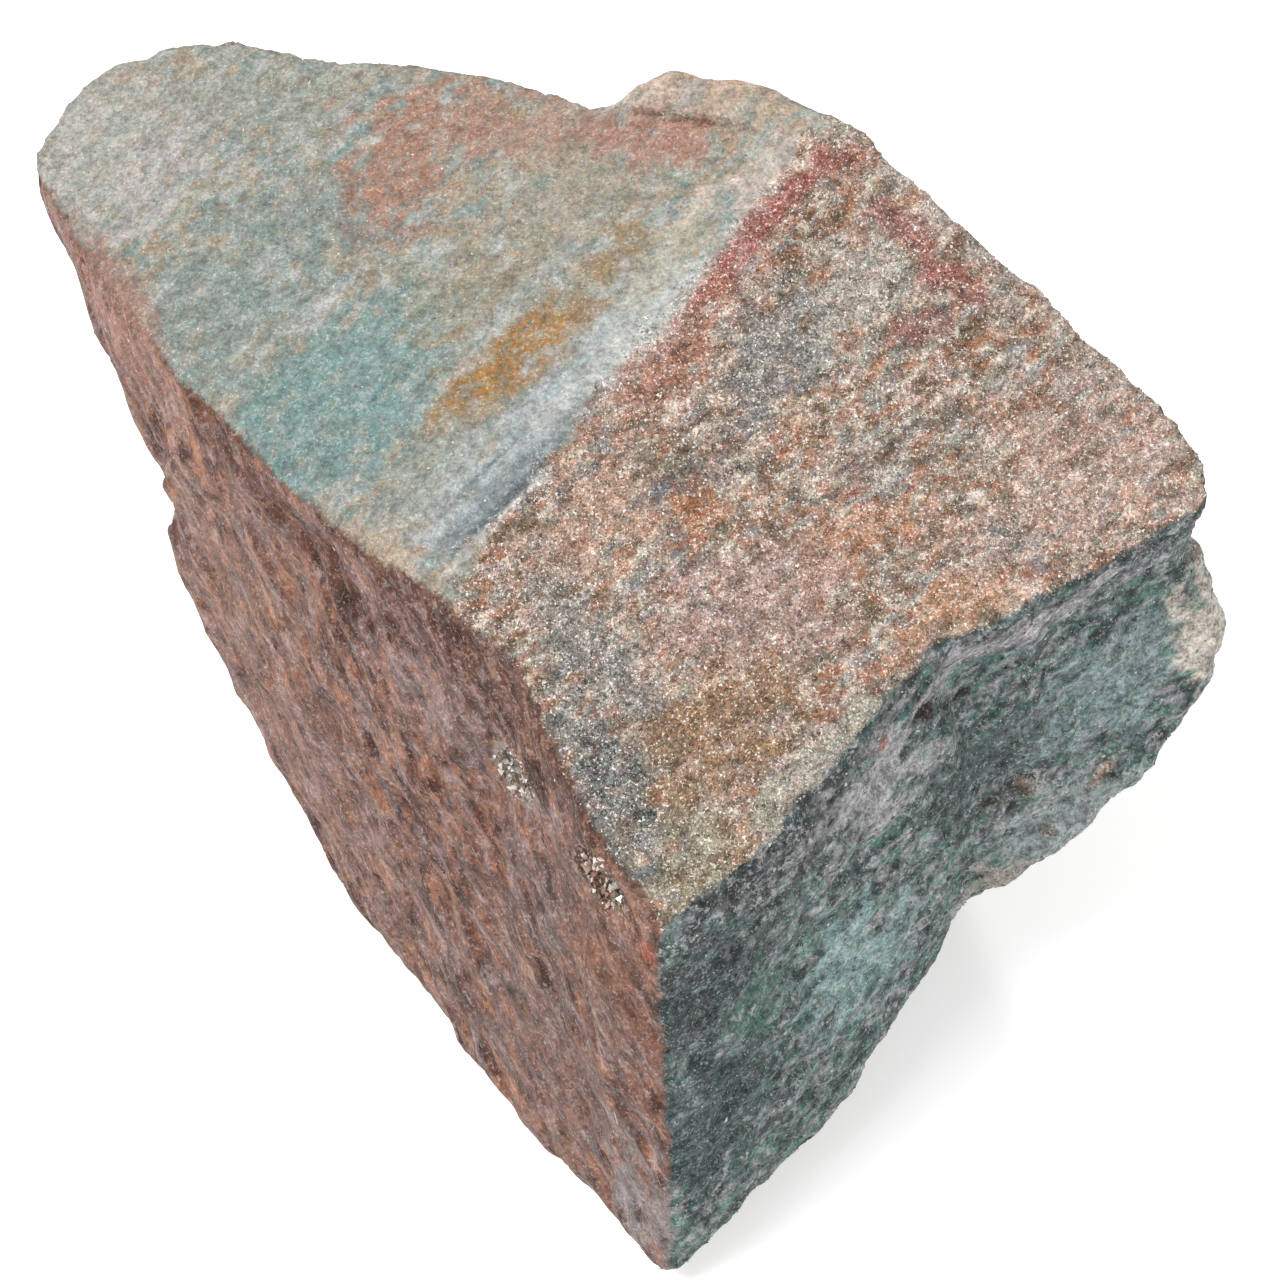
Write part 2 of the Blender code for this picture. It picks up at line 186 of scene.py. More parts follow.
FACES = {
    Face.BANDED_TOP: FaceLook(
        (-0.159, -0.052, 1), (0.636, 0.757, 0.149), 1.82, (155, 163, 154),
        (
            Mottle((176, 168, 148), (2.8, 1.9, 2), 0.36, 21, 0.8, 0.14),
            Mottle((136, 158, 154), (3.2, 1.8, 2), 0.36, 22, 0.8, 0.14),
            Mottle((182, 154, 122), (1.5, 1, 1), 0.17, 23, 0.7, 0.1),
            Mottle((194, 194, 190), (2, 0.9, 1), 0.2, 24, 0.7, 0.12),
        ),
        ((138, 148, 142), (188, 184, 172), (170, 146, 118)),
        0.28, 0.2, 0.25, 0.09, 0.07, (4, 1.2, 1.5),
    ),
    Face.GRANULAR_TOP: FaceLook(
        (0.087, -0.259, 1), (0.79, 0.61, 0.1), 1.24, (182, 154, 138),
        (
            Mottle((188, 146, 118), (3.6, 3, 2), 0.38, 31, 0.8),
            Mottle((184, 158, 152), (4, 3.2, 2), 0.32, 32, 0.8),
            Mottle((160, 160, 146), (2.6, 1.7, 1.5), 0.28, 33, 0.8),
            Mottle((142, 144, 144), (1.8, 1.3, 1.5), 0.2, 34, 0.8),
            Mottle((212, 198, 182), (1.2, 0.7, 1), 0.22, 35, 0.8, 0.1),
            Mottle((164, 108, 78), (1.3, 0.7, 1), 0.17, 36, 0.85, 0.08),
            Mottle((118, 96, 72), (1.9, 0.6, 1), 0.16, 37, 0.85, 0.08),
        ),
        ((122, 124, 122), (218, 204, 188), (160, 108, 80), (150, 150, 134), (112, 92, 76)),
        1, 0.15, 1, 0.34, 0.3, (2.6, 1.1, 1.5),
    ),
    Face.ROSE_SIDE: FaceLook(
        (-0.74, -0.64, 0.2), (0.446, -0.595, -0.669), 1.74, (144, 98, 80),
        (
            Mottle((162, 120, 103), (9, 5, 3), 0.35, 41, 0.8),
            Mottle((106, 62, 46), (6, 1.7, 2), 0.38, 42, 0.9),
            Mottle((156, 134, 132), (5, 0.9, 1), 0.2, 43, 0.75),
            Mottle((76, 40, 29), (3, 0.9, 1), 0.2, 44, 0.9),
            Mottle((176, 124, 94), (2, 0.8, 1), 0.12, 45, 0.7),
        ),
        ((168, 144, 142), (104, 62, 48), (172, 120, 94)),
        0.3, 0.9, 0.2, 0.08, 0.4, (7, 1.3, 3),
    ),
    Face.GREEN_SIDE: FaceLook(
        (0.64, -0.74, 0.2), (0.75, 0.6, 0.3), 1.34, (100, 116, 114),
        (
            Mottle((136, 146, 145), (5, 3, 2), 0.3, 51, 0.7),
            Mottle((58, 76, 74), (2.6, 1.6, 2), 0.4, 52, 0.9),
            Mottle((76, 124, 110), (1.4, 0.9, 1), 0.24, 53, 0.75),
            Mottle((176, 170, 174), (1.6, 0.6, 1), 0.16, 54, 0.7),
            Mottle((34, 46, 44), (1.1, 0.7, 1), 0.22, 55, 0.85, 0.08),
        ),
        ((176, 176, 178), (52, 70, 66), (86, 132, 118), (150, 158, 156)),
        0.8, 0.3, 0.3, 0.2, 0.22, (3, 1.1, 2),
    ),
    Face.BACK: FaceLook(
        (0.3, 0.93, 0.1), (0.95, -0.3, 0.05), 1.4, (166, 142, 129),
        (
            Mottle((148, 154, 145), (9, 2.4, 3), 0.42, 61, 0.85),
            Mottle((130, 100, 86), (6, 1, 2), 0.3, 62, 0.8),
            Mottle((112, 130, 126), (5, 1.2, 2), 0.26, 63, 0.8),
            Mottle((190, 180, 168), (2.4, 0.7, 1), 0.18, 64, 0.7),
        ),
        ((190, 180, 170), (116, 92, 78), (120, 134, 126)),
        0.45, 0.7, 0.5, 0.12, 0.28, (7, 1, 3),
    ),
    Face.UNDERSIDE: FaceLook(
        (0, 0, -1), (0.79, 0.61, 0), 1.4, (142, 143, 136),
        (
            Mottle((124, 136, 130), (7, 3, 2), 0.4, 71, 0.8),
            Mottle((120, 102, 90), (5, 1.4, 2), 0.28, 72, 0.8),
            Mottle((172, 160, 150), (2.4, 1, 1), 0.2, 73, 0.7),
        ),
        ((180, 172, 162), (104, 96, 88), (120, 134, 126)),
        0.5, 0.4, 0.4, 0.12, 0.14, (4, 1.2, 2),
    ),
}


def spread(values: np.ndarray, ties: np.ndarray, rounds: int) -> np.ndarray:
    """Spreads values over neighbouring points.

    Args:
        values: One value for each point.
        ties: Pairs of neighbouring points.
        rounds: How often each point takes the mean of itself and its neighbours.

    Returns:
        The spread values.
    """
    first, second = ties.T
    count = 1.0 + np.bincount(first, minlength=len(values)) + np.bincount(second, minlength=len(values))
    for _ in range(rounds):
        taken = np.bincount(first, values[second], len(values))
        taken = taken + np.bincount(second, values[first], len(values))
        values = (values + taken) / count
    return values


@dataclass(frozen=True)
class Layering:
    """The foliation of the rock: thin layers parallel to the granular half of the top."""

    slope: tuple[float, float] = (-0.087, 0.259)

    def axes(self, heading: float) -> np.ndarray:
        """Gives three unit vectors: along a heading within a layer, across it, and up through the layers.

        Args:
            heading: Plan direction in degrees from X.

        Returns:
            The vectors, one row each.
        """
        turn = math.radians(heading)
        up = unit((-self.slope[0], -self.slope[1], 1.0))
        along = np.array((math.cos(turn), math.sin(turn), 0.0))
        along = unit(along - up * (along @ up))
        return np.array((along, np.cross(up, along), up))


@dataclass(frozen=True)
class Stain:
    """A patch of colour that lies in the rock round one place.

    Attributes:
        name: What it is.
        at: Its middle, mm.
        reach: How far it goes along its heading, across it and through the layers, mm.
        heading: Plan direction in degrees from X.
        colour: Its colour at full strength.
        strength: How far it covers what is under it, 0 to 1.
        ragged: How torn its edge is.
        speckle: 1 where it only takes single grains, 0 where it takes them all.
        speck: Colour of the grains and threads between, or None for those of the face.
    """

    name: str
    at: Vec
    reach: Vec
    heading: float
    colour: Shade
    strength: float = 0.85
    ragged: float = 0.9
    speckle: float = 0.3
    speck: Shade | None = None


TOP_STAINS = (
    Stain("pale tip", (-34.5, 28, 42), (10, 7.5, 5), 40, (190, 186, 178), 0.75),
    Stain("lilac haze of the tip", (-30, 25, 43), (6, 2.6, 4), 50, (192, 186, 186), 0.5),
    Stain("green-grey upper arm", (-23, 30, 44.3), (7, 4, 4), -5, (160, 164, 153), 0.7),
    Stain("red-brown patch", (-15.2, 22, 45.3), (6.4, 4, 4), 62, (178, 127, 105), 0.97, 1, 0.25,
        (150, 154, 144)),
    Stain("red-brown edge", (-9.5, 26, 46.4), (7, 3.2, 4), -15, (176, 130, 110), 0.95, 1, 0.25,
        (182, 170, 152)),
    Stain("red band at the back edge", (-1, 23.8, 47.6), (9, 2.6, 4), -15, (180, 146, 130), 0.9),
    Stain("cream mottles", (-4, 19, 46.8), (8.5, 4.4, 4), 45, (180, 164, 142), 0.75, 0.9, 0.4,
        (148, 156, 150)),
    Stain("turquoise field", (-17, 5.6, 44), (10, 5, 4), 50, (120, 154, 152), 0.9, 0.8, 0.2,
        (164, 176, 174)),
    Stain("turquoise heart", (-13.2, 4.2, 44.7), (3.4, 1.5, 4), 42, (124, 160, 158), 0.7),
    Stain("turquoise heart to the left", (-19.6, 8, 43.7), (4.8, 2.6, 4), 50, (124, 157, 152), 0.92),
    Stain("green-grey veil", (-24, 14.5, 43.5), (9, 5.5, 4), 50, (140, 155, 149), 0.95),
    Stain("white smear", (-19.2, 12.2, 44.2), (2.4, 0.8, 4), 60, (200, 200, 200), 0.75),
    Stain("second white smear", (-22, 17, 44), (2.8, 0.9, 4), 55, (188, 190, 188), 0.6),
    Stain("ochre freckles", (-9.5, 13, 45.6), (5, 2.6, 4), 45, (160, 149, 122), 0.75, 1, 0.5),
    Stain("rust patch", (-6.6, 7, 46), (6.2, 3.1, 4), 46, (178, 125, 56), 0.95, 0.8, speck=(156, 158, 138)),
    Stain("rust trail", (-1.4, 13, 47), (4.4, 1.4, 4), 50, (170, 138, 98), 0.85, 1, 0.4),
    Stain("pale green strand", (-7.5, 10.2, 45.8), (6.5, 0.9, 4), 48, (172, 182, 178), 0.7),
    Stain("blue band", (-4.2, 3.6, 46), (17, 2.3, 4), 50, (178, 188, 190), 0.9, 0.7, 0.15, (196, 200, 198)),
    Stain("white crest", (1.6, 9.2, 47.2), (10, 1.5, 4), 50, (205, 206, 201), 0.9, 0.8, 0.2),
    Stain("grey strand", (-6.6, -1.8, 45.4), (6.4, 0.9, 3), 50, (120, 130, 135), 0.85, 0.8, 0.4),
    Stain("dark fibre", (-6.6, -2.8, 45.4), (4.4, 0.2, 2), 50, (84, 94, 100), 0.8, 0.5),
    Stain("second dark fibre", (-8.6, -1.3, 45.2), (4.2, 0.2, 2), 50, (92, 102, 106), 0.75, 0.5),
    Stain("white line by the crease", (-7.6, -4.7, 45), (6.6, 0.24, 2), 50, (220, 217, 210), 0.85, 0.4),
    Stain("yellow tint", (3.6, 14.6, 48), (5, 1.6, 4), 50, (192, 184, 160), 0.8),
    Stain("olive tint", (-12.2, -1.2, 44.7), (5, 1.8, 4), 50, (157, 163, 153)),
    Stain("pale head of the crease", (9, 19.4, 48.9), (4.6, 2.2, 4), 40, (214, 198, 184), 0.88),
    Stain("yellow foot", (-14.8, -6, 43.6), (4, 1.8, 4), 140, (194, 172, 146), speck=(176, 132, 96)),
    Stain("pink edge of the arm", (-32.8, 16, 42), (8, 1.6, 3), -57, (170, 132, 118), 0.97, 0.4, 0.1),
    Stain("grey-green shoulder", (15, 12, 47.4), (6, 2.6, 3), 60, (178, 178, 168), 0.65, 1, 0.4),
    Stain("crimson streak", (8.75, 15.4, 48.6), (7.4, 1.15, 3), 53, (154, 84, 74), 0.95, 0.6,
        speck=(172, 108, 96)),
    Stain("crimson knot", (13.6, 20, 49.6), (1.4, 1, 3), 0, (150, 88, 78), 0.9, 0.7, 0.4),
    Stain("red-brown foot of the streak", (2.6, 6, 47), (6.5, 1.5, 3), 50, (170, 118, 100), 0.85, 0.9, 0.5),
    Stain("crimson fleck", (17.6, 15.9, 48), (2.8, 1.2, 3), -44, (150, 80, 72), 0.92, 0.9, 0.4),
    Stain("crimson fleck by the edge", (21.2, 12.2, 46.8), (2.4, 1.3, 3), -40, (150, 84, 76), 0.92, 0.9,
        0.4),
    Stain("small crimson fleck", (18.5, 9.4, 46.2), (1.9, 1.2, 3), 38, (150, 86, 78), 0.9, 0.9, 0.4),
    Stain("grey grains", (9.4, 7, 46.6), (5.5, 2.4, 3), 78, (148, 146, 142), 0.85, 0.9, 0.4,
        (98, 100, 104)),
    Stain("warm sugar by the crease", (-2, -4.6, 44.5), (5.5, 2.6, 3), 50, (184, 150, 130), 0.8, 0.9, 0.2),
    Stain("dark grains", (4.6, -1.2, 44.9), (3, 1.4, 3), 20, (100, 101, 105), 0.9, 1, 0.6),
    Stain("rust on the granular top", (4.6, -3.2, 44.2), (2.4, 1.2, 2), 25, (176, 118, 78), 0.9, 0.9, 0.4),
    Stain("rust to the right", (14, -4.4, 43.1), (4, 2, 2), 30, (186, 128, 94), 0.8, 1, 0.5),
    Stain("pink sugar", (8, -9.5, 42.6), (7, 3.8, 3), 20, (186, 158, 150), 0.75, speck=(150, 118, 108)),
    Stain("golden hollow", (4.6, -17.2, 40.7), (6.5, 3.4, 3), 38, (158, 122, 90), speck=(120, 98, 70)),
    Stain("olive near corner", (4.9, -24.3, 39), (4, 2.6, 3), 38, (138, 126, 100), speck=(186, 184, 162)),
    Stain("grey lens", (-1.5, -12.5, 42.9), (6.5, 2, 3), -60, (152, 150, 144), 0.8, 0.9, 0.4,
        (96, 98, 100)),
    Stain("salt and pepper edge", (-0.6, -20, 40.7), (5.8, 1.8, 2.6), -66, (128, 131, 129), 0.95, 0.9, 0.4,
        (54, 58, 58)),
    Stain("pale green edge", (12.5, -18, 39.5), (7.5, 1.4, 2), 47, (180, 178, 164)),
    Stain("orange by the ledge", (19.5, -8.4, 41.5), (4, 1.6, 1.6), 25, (194, 144, 108), 0.8, 0.9, 0.4),
    Stain("pink shoulder", (28, 0, 43.2), (8, 5, 3), 38, (200, 172, 160), 0.6),
    Stain("pale back rim", (24, 13.5, 45.8), (15, 1.1, 3), -45, (200, 182, 172), 0.7),
    Stain("cap", (5, 25.6, 49.4), (10, 2.8, 2), -16, (214, 188, 166), 0.92, 0.7, 0.2, (188, 146, 118)),
    Stain("pale left end of the cap", (-0.5, 26.6, 49), (4, 2, 2), -10, (222, 208, 192)),
    Stain("grey heart of the cap", (4.2, 25.4, 49.8), (1.6, 0.8, 2), 60, (172, 172, 172), 0.8),
    Stain("red stain under the crack", (1.6, 23.2, 48.2), (6.5, 1.6, 2.6), -16, (184, 132, 114), 0.85, 1),
    Stain("crack under the cap", (4, 23.9, 49.1), (9, 0.2, 1.6), -16, (112, 62, 48), 0.85, 0.35, 0.1),
)

ROSE_STAINS = (
    Stain("pink upper strip", (-32.5, 14.5, 40), (9, 6, 5), -60, (172, 128, 113), 0.95),
    Stain("pink left flank", (-27, 3, 27), (8, 5, 12), -60, (170, 134, 120), 0.5),
    Stain("pink lower edge", (-21, -4.5, 15), (14, 5, 5), -52, (156, 121, 110), 0.65),
    Stain("brown under the rose edge", (-10.5, -10.3, 40.6), (10, 3, 3), -52, (100, 58, 42), 0.9,
        speck=(150, 128, 124)),
    Stain("brown edge to the left", (-20.5, 0.5, 40), (9, 3, 2.8), -52, (108, 62, 44), 0.9),
    Stain("brown hollow", (-17, -5.2, 37), (3.8, 2, 1.6), -50, (78, 43, 31), 0.95),
    Stain("lilac streaks", (-11.5, -12, 35), (5, 3, 2), -50, (160, 138, 138), 0.6, 1, 0.5),
    Stain("lilac streaks by the corner", (-4.8, -22.5, 27.5), (7, 3, 2.6), -50, (150, 132, 134), 0.6, 1,
        0.5),
    Stain("dusky flank", (-3, -25, 29), (9, 3, 9), -50, (110, 84, 76), 0.75),
    # Dark brown strip under the edge to the top: partly the rock's own brown, partly painted shade of the
    # edge.
    Stain("brown corner edge", (-3.2, -19, 39.6), (9, 3, 3), -60, (98, 58, 43), 0.95, 0.8, 0.2,
        (150, 112, 92)),
    Stain("pale crystals", (-6.3, -16.1, 34.8), (1.9, 1.8, 1.3), -50, (188, 180, 170), 0.95, 0.6, 0.1,
        (120, 98, 84)),
    Stain("brown cavity", (-1, -24, 36.1), (3, 2, 1.7), -50, (94, 56, 42), 0.95, speck=(190, 170, 150)),
    Stain("rust spot", (1.4, -28.5, 35.2), (0.8, 0.8, 0.6), -50, (170, 84, 46), 0.9, 0.4, 0),
    Stain("orange veins by the corner", (-0.4, -27.4, 28.5), (5, 2.4, 5), -50, (160, 104, 76), 0.6, 1.2,
        0.6),
    Stain("dusky foot", (-5, -25, 12), (9, 4, 7), -50, (128, 102, 95), 0.75),
    Stain("grey lower tip", (2.4, -34.5, 8), (6, 4, 5), -50, (158, 153, 151)),
)

GREEN_STAINS = (
    Stain("dark green corner", (4.6, -28.6, 31), (6, 4, 8), 38, (38, 52, 53), 0.97, 0.8, 0.15,
        (104, 114, 113)),
    Stain("dark green foot", (5.5, -31, 17), (5.5, 4, 10), 38, (44, 62, 63), 0.95, 0.8, 0.15,
        (104, 118, 116)),
    Stain("teal flank", (15, -21.6, 19.5), (5, 3, 7), 38, (148, 176, 174), 0.88),
    Stain("teal heart", (9, -26, 25), (3, 3, 3), 38, (86, 128, 115), 0.6),
    # Painted shade under the overhanging ledge, over the rock's own dark grey; its pale specks are real
    # streaks.
    Stain("dark under the ledge", (26.5, -7.2, 39), (12, 3.4, 2.3), 38, (46, 51, 54), 0.95, 1, 0.25,
        (160, 160, 164)),
    # Dark band along the edge to the top: partly the rock's own charcoal colour, partly painted shade of the
    # edge.
    Stain("charcoal band", (10.5, -21.5, 37), (10, 4, 2.6), 40, (42, 47, 49), 0.97, 1.1, 0.4,
        (176, 172, 175)),
    Stain("pale streaks", (15.2, -16.6, 36.6), (6, 3, 1.7), 38, (184, 180, 182), 0.85, 1.1, 0.45,
        (70, 76, 75)),
    Stain("pink streaks", (24, -8.4, 37.9), (8, 2.8, 1.6), 38, (204, 196, 199), 0.88, 1.2, 0.45,
        (74, 78, 80)),
    Stain("lilac patch", (17, -16.6, 34.2), (3.8, 3, 2.8), 38, (188, 184, 186), 0.85, 1.1, 0.4),
    Stain("dark patch", (21, -13.6, 28), (3.6, 3, 3.2), 38, (46, 60, 60), 0.95, 0.9, 0.2),
    Stain("dark lobe", (25.5, -9.4, 27), (5, 3, 4), 38, (66, 80, 80)),
    Stain("teal lobe", (32, -5.2, 28.5), (6, 3, 6), 38, (140, 159, 160)),
    Stain("beige rim of the lobe", (38.3, -2, 30), (2.8, 3.2, 8), 38, (220, 208, 193), 0.97),
    Stain("grey foot of the lobe", (29.5, -10.5, 17.5), (6, 4, 4), 38, (158, 166, 166)),
    Stain("brown bump", (25.6, -13, 15), (2.6, 2.4, 1.6), 38, (170, 154, 140), 0.8),
    Stain("dark pit", (21.1, -9.5, 33.5), (0.9, 1.2, 0.7), 38, (34, 26, 24), 0.97, 0.3, 0),
    Stain("second dark pit", (18.4, -12.8, 36.6), (1.3, 1.2, 0.8), 38, (44, 28, 26), 0.97, 0.3, 0),
    Stain("red spot", (15.8, -15.6, 37.7), (0.42, 0.7, 0.4), 38, (160, 72, 54), 0.9, 0.3, 0),
)

STAINS: dict[tuple[Face, ...], tuple[Stain, ...]] = {
    (Face.BANDED_TOP, Face.GRANULAR_TOP, Face.BACK): TOP_STAINS,
    (Face.ROSE_SIDE, Face.UNDERSIDE): ROSE_STAINS,
    (Face.GREEN_SIDE, Face.BACK, Face.UNDERSIDE): GREEN_STAINS,
}


@dataclass(frozen=True)
class Dent:
    """A pit, groove or ridge of the skin: its middle, its reach and heading as a stain's, and its depth.

    A ridge has a depth below 0.
    """

    name: str
    at: Vec
    reach: Vec
    heading: float
    depth: float


DENTS = (
    Dent("crack under the cap", (4, 23.9, 49.1), (9, 0.36, 2), -16, 0.45),
    Dent("pit beside the cap", (3.2, 24.2, 49.2), (1.2, 0.6, 1.6), -16, 0.4),
    Dent("thin rim along the crease", (-7.9, -4, 45), (6.5, 0.45, 2), 50, -0.22),
    Dent("furrow behind the rim", (-8.9, -3.4, 44.8), (6, 0.5, 2), 50, 0.18),
    Dent("dark pit", (21, -9.6, 33.7), (0.8, 1.2, 0.5), 38, 0.7),
    Dent("second dark pit", (18.3, -12.7, 36.7), (1.1, 1.2, 0.5), 38, 0.7),
    Dent("crystal pocket", (-6.3, -16.1, 34.8), (1.9, 1.8, 1.1), -50, 0.9),
    Dent("brown cavity", (-1.2, -23.8, 36.2), (2.7, 1.9, 1.5), -50, 1.1),
    Dent("brown hollow", (-17.4, -5.2, 37.4), (3.2, 2, 0.9), -50, 0.6),
    Dent("second brown hollow", (-13.5, -8.4, 38.6), (2.6, 2, 0.7), -50, 0.45),
)


def nearness(places: np.ndarray, spot: Stain | Dent, layers: Layering) -> np.ndarray:
    """Measures points against a stain or dent.

    Args:
        places: Points, one row each, mm.
        spot: What they are measured against.
        layers: The layering whose axes the spot follows.

    Returns:
        0 in the spot's middle and 1 where its reach ends.
    """
    away = (places - np.array(spot.at)) @ layers.axes(spot.heading).T
    return np.linalg.norm(away / np.array(spot.reach), axis=1)


def strongest(shares: dict[Face, np.ndarray]) -> np.ndarray:
    """Gives the number of the face that counts most at each point."""
    return np.argmax(np.array(list(shares.values())), axis=0)


@dataclass
class Rock:
    """The rock as a field: what it looks like, and how it broke, at any place of the surface.

    Attributes:
        layers: Its foliation.
        crease: The line between the two halves of the top, as a start, a share of x and one of y. Their
            sum is below 0 on the banded side.
        crease_tear: How ragged the crease is, and crease_blur how soft.
        border: How sharply one face gives way to the next.
        edge_tear: How ragged the edge of the top is.
        sway: How far the fibres wander from their straight course, mm.
        crest: How blunt the ridges are, 0 to 1.
        rim_rounds: How far the chips reach in from the edge of the top, in rounds of spreading.
        rim_gain: How fully the edge is chipped.
        chip: Height of the chips, mm.
        wear: How far the edge is worn down, mm.
        mottle_span: What a share of 1 spans of the noise.
        tear_size: Width of the tears in a stain's edge along the fibres, across them and into the rock, mm.
        grain_size: Width of the grains that stay out of a stain, mm.
        speck_size: Width of a patch of specks of one colour, as tear_size.
        speck_swing: How evenly the speck colours share the face.
        stain_edge: Where a stain ends and where it is whole, in reaches.
        home_edge: Share of its home faces where a stain starts and where it is whole.
        grain_edge: Noise of single grains at which they start to leave a stain out, and do so fully.
        bleed: How far a stain without a speck colour takes the specks along.
        faint: Share below which a face is left out.
    """

    layers: Layering = Layering()
    crease: Vec = (1.088, 0.258, -0.192)
    crease_tear: float = 0.5
    crease_blur: float = 0.12
    border: float = 26.0
    edge_tear: float = 0.2
    sway: float = 1.1
    crest: float = 0.6
    rim_rounds: int = 7
    rim_gain: float = 2.2
    chip: float = 0.75
    wear: float = 0.12
    mottle_span: float = 0.62
    tear_size: Vec = (1.8, 1.2, 1.2)
    grain_size: float = 0.8
    speck_size: Vec = (2.4, 1.6, 1.6)
    speck_swing: float = 1.1
    stain_edge: tuple[float, float] = (1.25, 0.6)
    home_edge: tuple[float, float] = (0.3, 0.7)
    grain_edge: tuple[float, float] = (-0.05, 0.2)
    bleed: float = 0.4
    faint: float = 0.01

    def face_shares(self, places: np.ndarray, normals: np.ndarray) -> dict[Face, np.ndarray]:
        """Tells how much each face counts at points of the surface.

        Args:
            places: Points, one row each, mm.
            normals: The surface's broad direction there.

        Returns:
            A share for each face and point, which add up to 1.
        """
        side = self.crease[0] + places[:, 0] * self.crease[1] + places[:, 1] * self.crease[2]
        side += self.crease_tear * noise_at(places, 1.6, Seed.CREASE)
        right = smooth(side, -self.crease_blur, self.crease_blur)
        wobble = self.edge_tear * noise_at(places, 2.0, Seed.EDGE, 3)
        scores = {}
        for face, look in FACES.items():
            out = unit(look.facing)
            torn = wobble if face in (Face.BANDED_TOP, Face.GRANULAR_TOP) else 0.0
            scores[face] = np.exp(self.border * (normals @ out + torn))
        tops = np.maximum(scores[Face.BANDED_TOP], scores[Face.GRANULAR_TOP])
        scores[Face.BANDED_TOP] = tops * (1.0 - right)
        scores[Face.GRANULAR_TOP] = tops * right
        total = sum(scores.values())
        return {face: score / total for face, score in scores.items()}

    def weave(self, places: np.ndarray, shares: dict[Face, np.ndarray]) -> np.ndarray:
        """Turns points into the axes of the face they lie on.

        Args:
            places: Points, one row each, mm.
            shares: How much each face counts there.

        Returns:
            Their places along the fibres, across them and into the rock, mm.
        """
        lead = strongest(shares)
        woven = np.zeros_like(places)
        for number, face in enumerate(shares):
            here = lead == number
            woven[here] = places[here] @ FACES[face].axes().T
        woven[:, 1] += self.sway * noise_at(places, 11.0, Seed.SWAY)
        return woven

    def relief(
        self, places: np.ndarray, woven: np.ndarray, shares: dict[Face, np.ndarray], ties: np.ndarray
    ) -> np.ndarray:
        """Works out how far the fine surface stands off the broad one, mm.

        Args:
            places: Points, one row each, mm.
            woven: The same points by the fibres.
            shares: How much each face counts there.
            ties: Pairs of neighbouring points.

        Returns:
            The height of each point.
        """
        height = np.zeros(len(places))
        lumps = noise_at(places, 1.3, Seed.LUMPS, 3)
        for number, (face, look) in enumerate(FACES.items()):
            share = shares[face]
            here = share > self.faint
            ridges = noise_at(woven[here] / np.array(look.ridge_size), 1.0, Seed.RIDGES + number, 3)
            ridges -= self.crest * np.abs(ridges)
            height[here] += share[here] * (look.lumps * lumps[here] + look.ridge * ridges)
        top = shares[Face.BANDED_TOP] + shares[Face.GRANULAR_TOP]
        rim = np.clip(self.rim_gain * spread(4.0 * top * (1.0 - top), ties, self.rim_rounds), 0.0, 1.0)
        chips = noise_at(places, 2.3, Seed.CHIPS, 3) + 0.5 * noise_at(places, 0.9, Seed.FINE_CHIPS)
        height += rim * (self.chip * chips - self.wear)
        for dent in DENTS:
            height -= dent.depth * smooth(nearness(places, dent, self.layers), 1.0, 0.2)
        return height

    def fibre(self, shares: dict[Face, np.ndarray], ties: np.ndarray) -> np.ndarray:
        """Tells how fibrous the rock is, which fades out where one face meets the next.

        Args:
            shares: How much each face counts at each point.
            ties: Pairs of neighbouring points.

        Returns:
            0 to 1 for each point.
        """
        lead = strongest(shares)
        amount = sum(FACES[face].fibre * share for face, share in shares.items())
        torn = ties[lead[ties[:, 0]] != lead[ties[:, 1]]].ravel()
        amount[torn] = 0.0
        near = np.isin(ties, torn).any(axis=1)
        beside = np.setdiff1d(ties[near].ravel(), torn)
        amount[beside] *= 0.5
        return amount

    def paint(
        self, places: np.ndarray, woven: np.ndarray, shares: dict[Face, np.ndarray]
    ) -> dict[str, np.ndarray]:
        """Colours points of the surface.

        Args:
            places: Points, one row each, mm.
            woven: The same points by the fibres.
            shares: How much each face counts there.

        Returns:
            The attributes of each point by name: two colours, its place by the fibres, grit and glint.
        """
        tear = noise_at(woven / np.array(self.tear_size), 1.0, Seed.TEAR, 3)
        single = noise_at(places, self.grain_size, Seed.GRAINS, 2)
        colour, speck = np.zeros((2, len(places), 3))
        grit, glint, lit = np.zeros((3, len(places)))
        for number, (face, look) in enumerate(FACES.items()):
            share = shares[face]
            here = share > self.faint
            painted = np.tile(tone(look.main), (int(here.sum()), 1))
            for mottle in look.mottles:
                field = noise_at(woven[here] / np.array(mottle.size), 1.0, mottle.seed, 3)
                level = self.mottle_span * (0.5 - mottle.share)
                cover = mottle.strength * smooth(field, level - mottle.soft, level + mottle.soft)[:, None]
                painted = blend(painted, tone(mottle.colour), cover)
            colour[here] += painted * share[here][:, None]
            turn = noise_at(woven[here] / np.array(self.speck_size), 1.0, Seed.SPECKS + number, 2)
            kinds = np.array([tone(kind) for kind in look.specks])
            chosen = np.clip((0.5 + self.speck_swing * turn) * len(kinds), 0, len(kinds) - 1).astype(int)
            speck[here] += kinds[chosen] * share[here][:, None]
            grit += look.grit * share
            glint += look.glint * share
            lit += look.lit * share
        for homes, stain in ((homes, stain) for homes, stains in STAINS.items() for stain in stains):
            edge = nearness(places, stain, self.layers) + stain.ragged * tear
            cover = stain.strength * smooth(edge, *self.stain_edge)
            cover *= smooth(sum(shares[face] for face in homes), *self.home_edge)
            cover *= 1.0 - stain.speckle * smooth(single, *self.grain_edge)
            cover = cover[:, None]
            colour = blend(colour, tone(stain.colour), cover)
            if stain.speck is None:
                cover = self.bleed * cover
            speck = blend(speck, tone(stain.speck or stain.colour), cover)
        lit = lit[:, None]
        return {"stain": colour / lit, "speck": speck / lit, "weave": woven, "grit": grit, "glint": glint}


